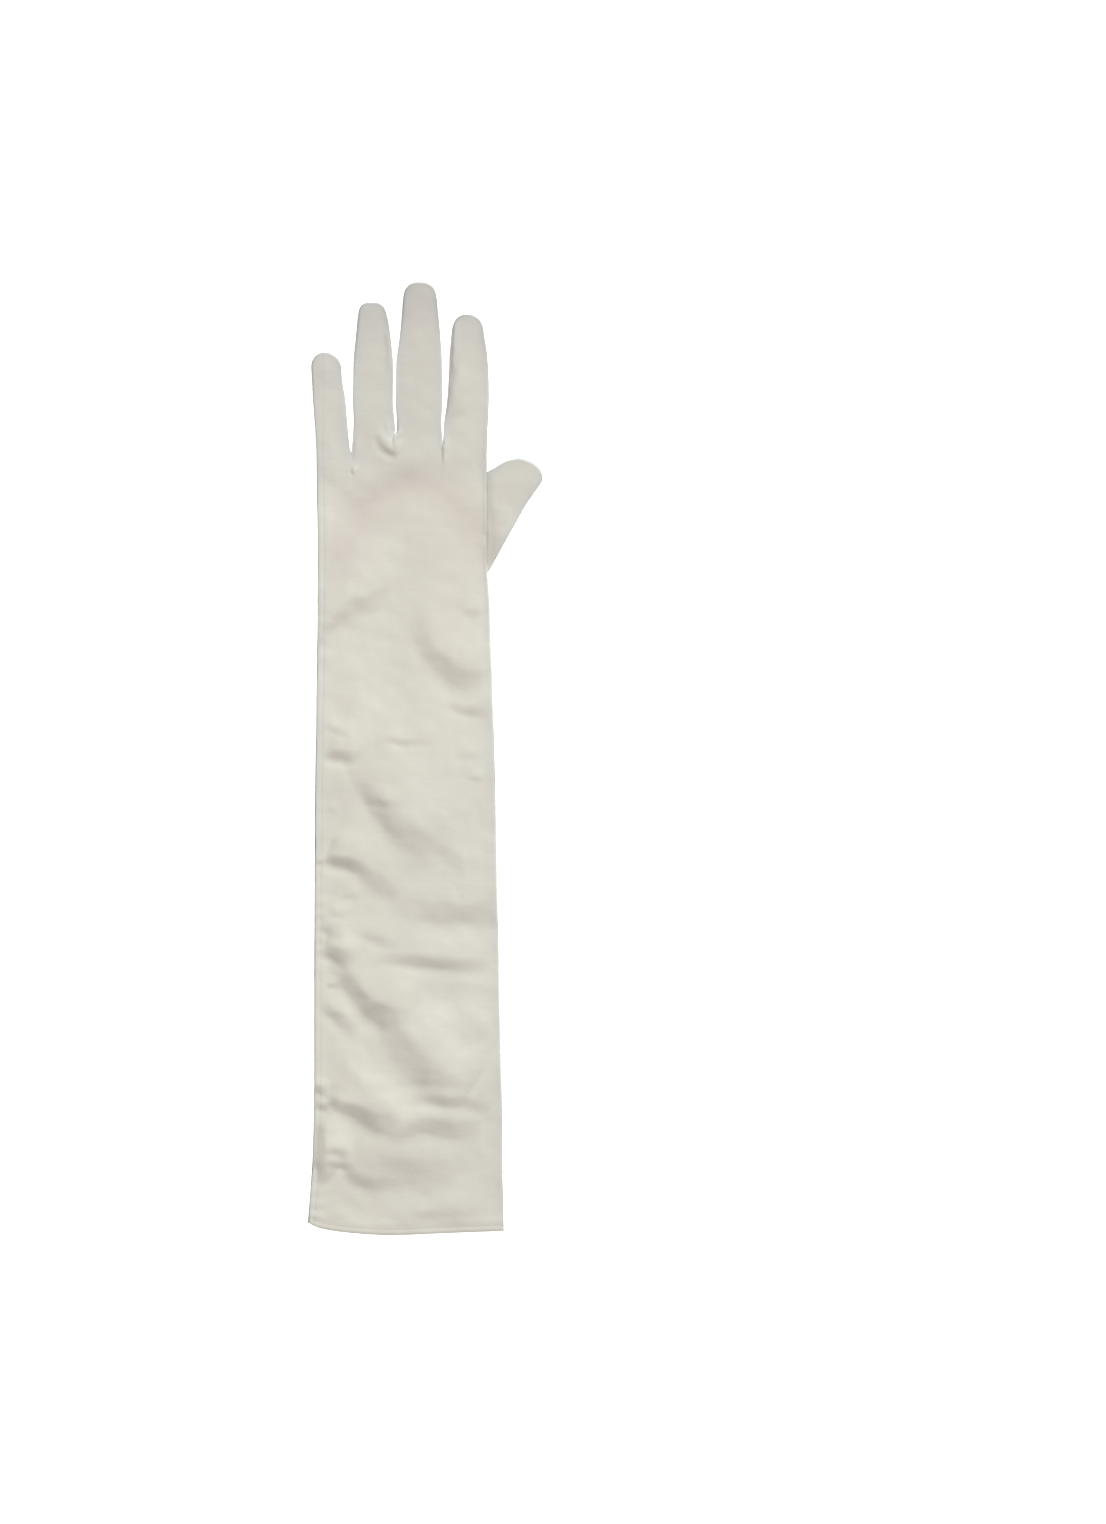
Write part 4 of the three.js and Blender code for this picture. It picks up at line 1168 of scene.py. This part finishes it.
def node_group(name, inputs, outputs):
    """A shader node group with named sockets: the group, its nodes, its inputs and its end node."""
    group = bpy.data.node_groups.new(name, "ShaderNodeTree")
    for label, kind in inputs:
        group.interface.new_socket(label, in_out="INPUT", socket_type="NodeSocket" + kind)
    for label, kind in outputs:
        group.interface.new_socket(label, in_out="OUTPUT", socket_type="NodeSocket" + kind)
    nodes = Nodes(group)
    return group, nodes, nodes.add("NodeGroupInput").outputs, nodes.add("NodeGroupOutput")


def satin_weave_group():
    """Long fine floats along the glove, soft crinkles across it, and the slightly uneven colour
    and roughness of satin that has been handled. Each is a noise, drawn out by its grain."""
    group, nodes, source, result = node_group(
        "satin_weave",
        [("Place", "Vector"), ("Floats", "Float"), ("Crinkles", "Float"), ("Base Color", "Color"),
         ("Base Roughness", "Float")],
        [("Color", "Color"), ("Roughness", "Float"), ("Height", "Float")],
    )
    place = source["Place"]
    floats = nodes.noise(place, FLOAT_GRAIN, 1.0)
    crinkles = nodes.noise(place, CRINKLE_GRAIN, 2.0)
    patches = nodes.noise(place, PATCH_GRAIN, 2.0)
    height = nodes.math("MULTIPLY", floats, source["Floats"])
    height = nodes.math("MULTIPLY_ADD", crinkles, source["Crinkles"], height)
    uneven = nodes.math("SUBTRACT", patches, 0.5)
    thread = nodes.math("SUBTRACT", floats, 0.5)
    shade = nodes.math("MULTIPLY_ADD", uneven, PATCH_SHADE, 1.0)
    shade = nodes.math("MULTIPLY_ADD", thread, FLOAT_SHADE, shade)
    rough = nodes.math("MULTIPLY_ADD", uneven, PATCH_ROUGH, source["Base Roughness"])
    colour = nodes.scaled(source["Base Color"], shade)
    nodes.fill(result, {"Color": colour, "Roughness": rough, "Height": height})
    return group


def sewn_line_group():
    """Fine line of a seam: a mask that falls off to both sides of a distance of 0, rounded at its
    top."""
    sockets = [("Distance", "Float"), ("Width", "Float")]
    group, nodes, source, result = node_group("sewn_line", sockets, [("Mask", "Float")])
    away = nodes.math("DIVIDE", nodes.math("ABSOLUTE", source["Distance"]), source["Width"])
    mask = nodes.math("SUBTRACT", 1.0, away, clamp=True)
    nodes.fill(result, {"Mask": nodes.math("SMOOTH_MIN", mask, 1.0, 0.1)})
    return group


def new_material(name):
    """A material, its nodes, its Principled surface and the place on the object."""
    material = bpy.data.materials.new(name)
    material.use_nodes = True
    nodes = Nodes(material.node_tree)
    place = nodes.add("ShaderNodeTexCoord").outputs["Object"]
    return material, nodes, material.node_tree.nodes["Principled BSDF"], place


def satin(name, colour, rough, weave, line=None):
    """Ivory satin: a Principled surface with its weave, and the dark of its seams if it has any."""
    material, nodes, surface, place = new_material(name)
    tone = (*colour, 1)
    # Painted shade: each tone darkens the colour as far as its attribute says
    for attribute, left in TONES.items():
        tone = nodes.toned(attribute, tone, left)
    inputs = {"Place": place, "Floats": FLOATS, "Crinkles": CRINKLES, "Base Color": tone}
    inputs["Base Roughness"] = rough
    woven = nodes.add("ShaderNodeGroup", inputs, node_tree=weave).outputs
    colour, height = woven["Color"], woven["Height"]
    if line:
        masks = []
        for attribute, level in (("from_seam", 0.0), ("above_hem", HEM_LINE)):
            distance = nodes.math("SUBTRACT", nodes.attribute(attribute), level)
            inputs = {"Distance": distance, "Width": SEWN_WIDTH}
            masks.append(nodes.add("ShaderNodeGroup", inputs, node_tree=line).outputs["Mask"])
        mask = nodes.math("MAXIMUM", *masks)
        colour = nodes.scaled(colour, nodes.math("MULTIPLY_ADD", mask, SEWN_SHADE, 1.0))
        height = nodes.math("MULTIPLY_ADD", mask, SEWN_DEPTH, height)
    inputs = {"Height": height, "Strength": 1.0, "Distance": MM}
    bump = nodes.add("ShaderNodeBump", inputs).outputs[0]
    inputs = {"Base Color": colour, "Roughness": woven["Roughness"], "Normal": bump}
    nodes.fill(surface, {**inputs, **SATIN})
    return material


def table_material():
    """Pale table top, lit softly from within, with a barely uneven tone."""
    material, nodes, surface, place = new_material("pale_table")
    tone, uneven = TABLE_TONE
    shade = nodes.math("MULTIPLY_ADD", nodes.noise(place, TABLE_GRAIN, 3.0), uneven, tone)
    colour = nodes.add("ShaderNodeCombineColor", {"Red": shade, "Green": shade, "Blue": shade})
    nodes.fill(surface, {"Base Color": colour.outputs[0], **TABLE})
    return material


def make_table():
    """Plain level surface under the glove."""
    mesh = bpy.data.meshes.new("table_top")
    corners = [(-1, -1), (1, -1), (1, 1), (-1, 1)]
    points = [(TABLE_HALF * x, TABLE_HALF * y, -TABLE_DROP * MM) for x, y in corners]
    mesh.from_pydata(points, [], [(0, 1, 2, 3)])
    mesh.materials.append(table_material())
    new_object("table_top", mesh)


def add_light(name, kind, size, power, colour, place):
    """Soft light in metres at a place, looking at the middle of the frame; size is the side of an
    area light or the angle of a sun."""
    light = bpy.data.lights.new(name, kind)
    if kind == "SUN":
        light.angle = size
    else:
        light.size = size
    light.energy = power
    light.color = colour
    lamp = new_object(name, light)
    lamp.location = place
    lamp.rotation_euler = Vector([-value for value in place]).to_track_quat("-Z", "Y").to_euler()


def make_lights():
    """A far soft light from the upper right, a broad one high above the fingertips, and even
    surroundings with a tinge of pink."""
    azimuth, elevation = (math.radians(value) for value in KEY_DIRECTION)
    level = math.cos(elevation)
    place = (level * math.cos(azimuth), level * math.sin(azimuth), math.sin(elevation))
    add_light("upper_right", "SUN", math.radians(KEY_ANGLE), KEY_POWER, KEY_COLOUR, place)
    add_light("overhead", "AREA", TOP_SIZE, TOP_POWER, TOP_COLOUR, TOP_PLACE)
    world = bpy.data.worlds.new("surroundings")
    world.use_nodes = True
    light = {"Strength": SURROUNDINGS, "Color": (*SURROUNDING_COLOUR, 1)}
    Nodes(world.node_tree).fill(world.node_tree.nodes["Background"], light)
    bpy.context.scene.world = world
    bpy.context.scene.view_settings.view_transform = "Standard"


def make_camera():
    """Straight above the middle of the frame, through a long lens: the frame's long side spans
    FRAME_LENGTH on the glove."""
    camera = new_object("camera", bpy.data.cameras.new("camera"))
    camera.data.sensor_width = SENSOR
    camera.data.lens = SENSOR * CAMERA_HEIGHT / FRAME_LENGTH
    x, y = FRAME_MIDDLE + shift[:2]
    camera.location = (x * MM, y * MM, (CAMERA_HEIGHT + CREASE_HEIGHT + BACK_RISE) * MM)
    camera.data.dof.use_dof = False
    bpy.context.scene.camera = camera


make_camera()
weave, line = satin_weave_group(), sewn_line_group()
body_satin = satin("ivory_satin", IVORY, BODY_ROUGH, weave, line)
plain_satin = satin("ivory_satin_plain", IVORY, PLAIN_ROUGH, weave)
thread = satin("ivory_thread", THREAD, THREAD_ROUGH, weave)
pieces = [(trank(), body_satin)]
pieces += [(fourchette(between), plain_satin) for between in range(len(STRIP_NAMES))]
pieces += [(thumb_tube(), plain_satin), (hem_stitches(), thread)]
for piece, material in pieces:
    piece.data.materials.append(material)
make_table()
make_lights()
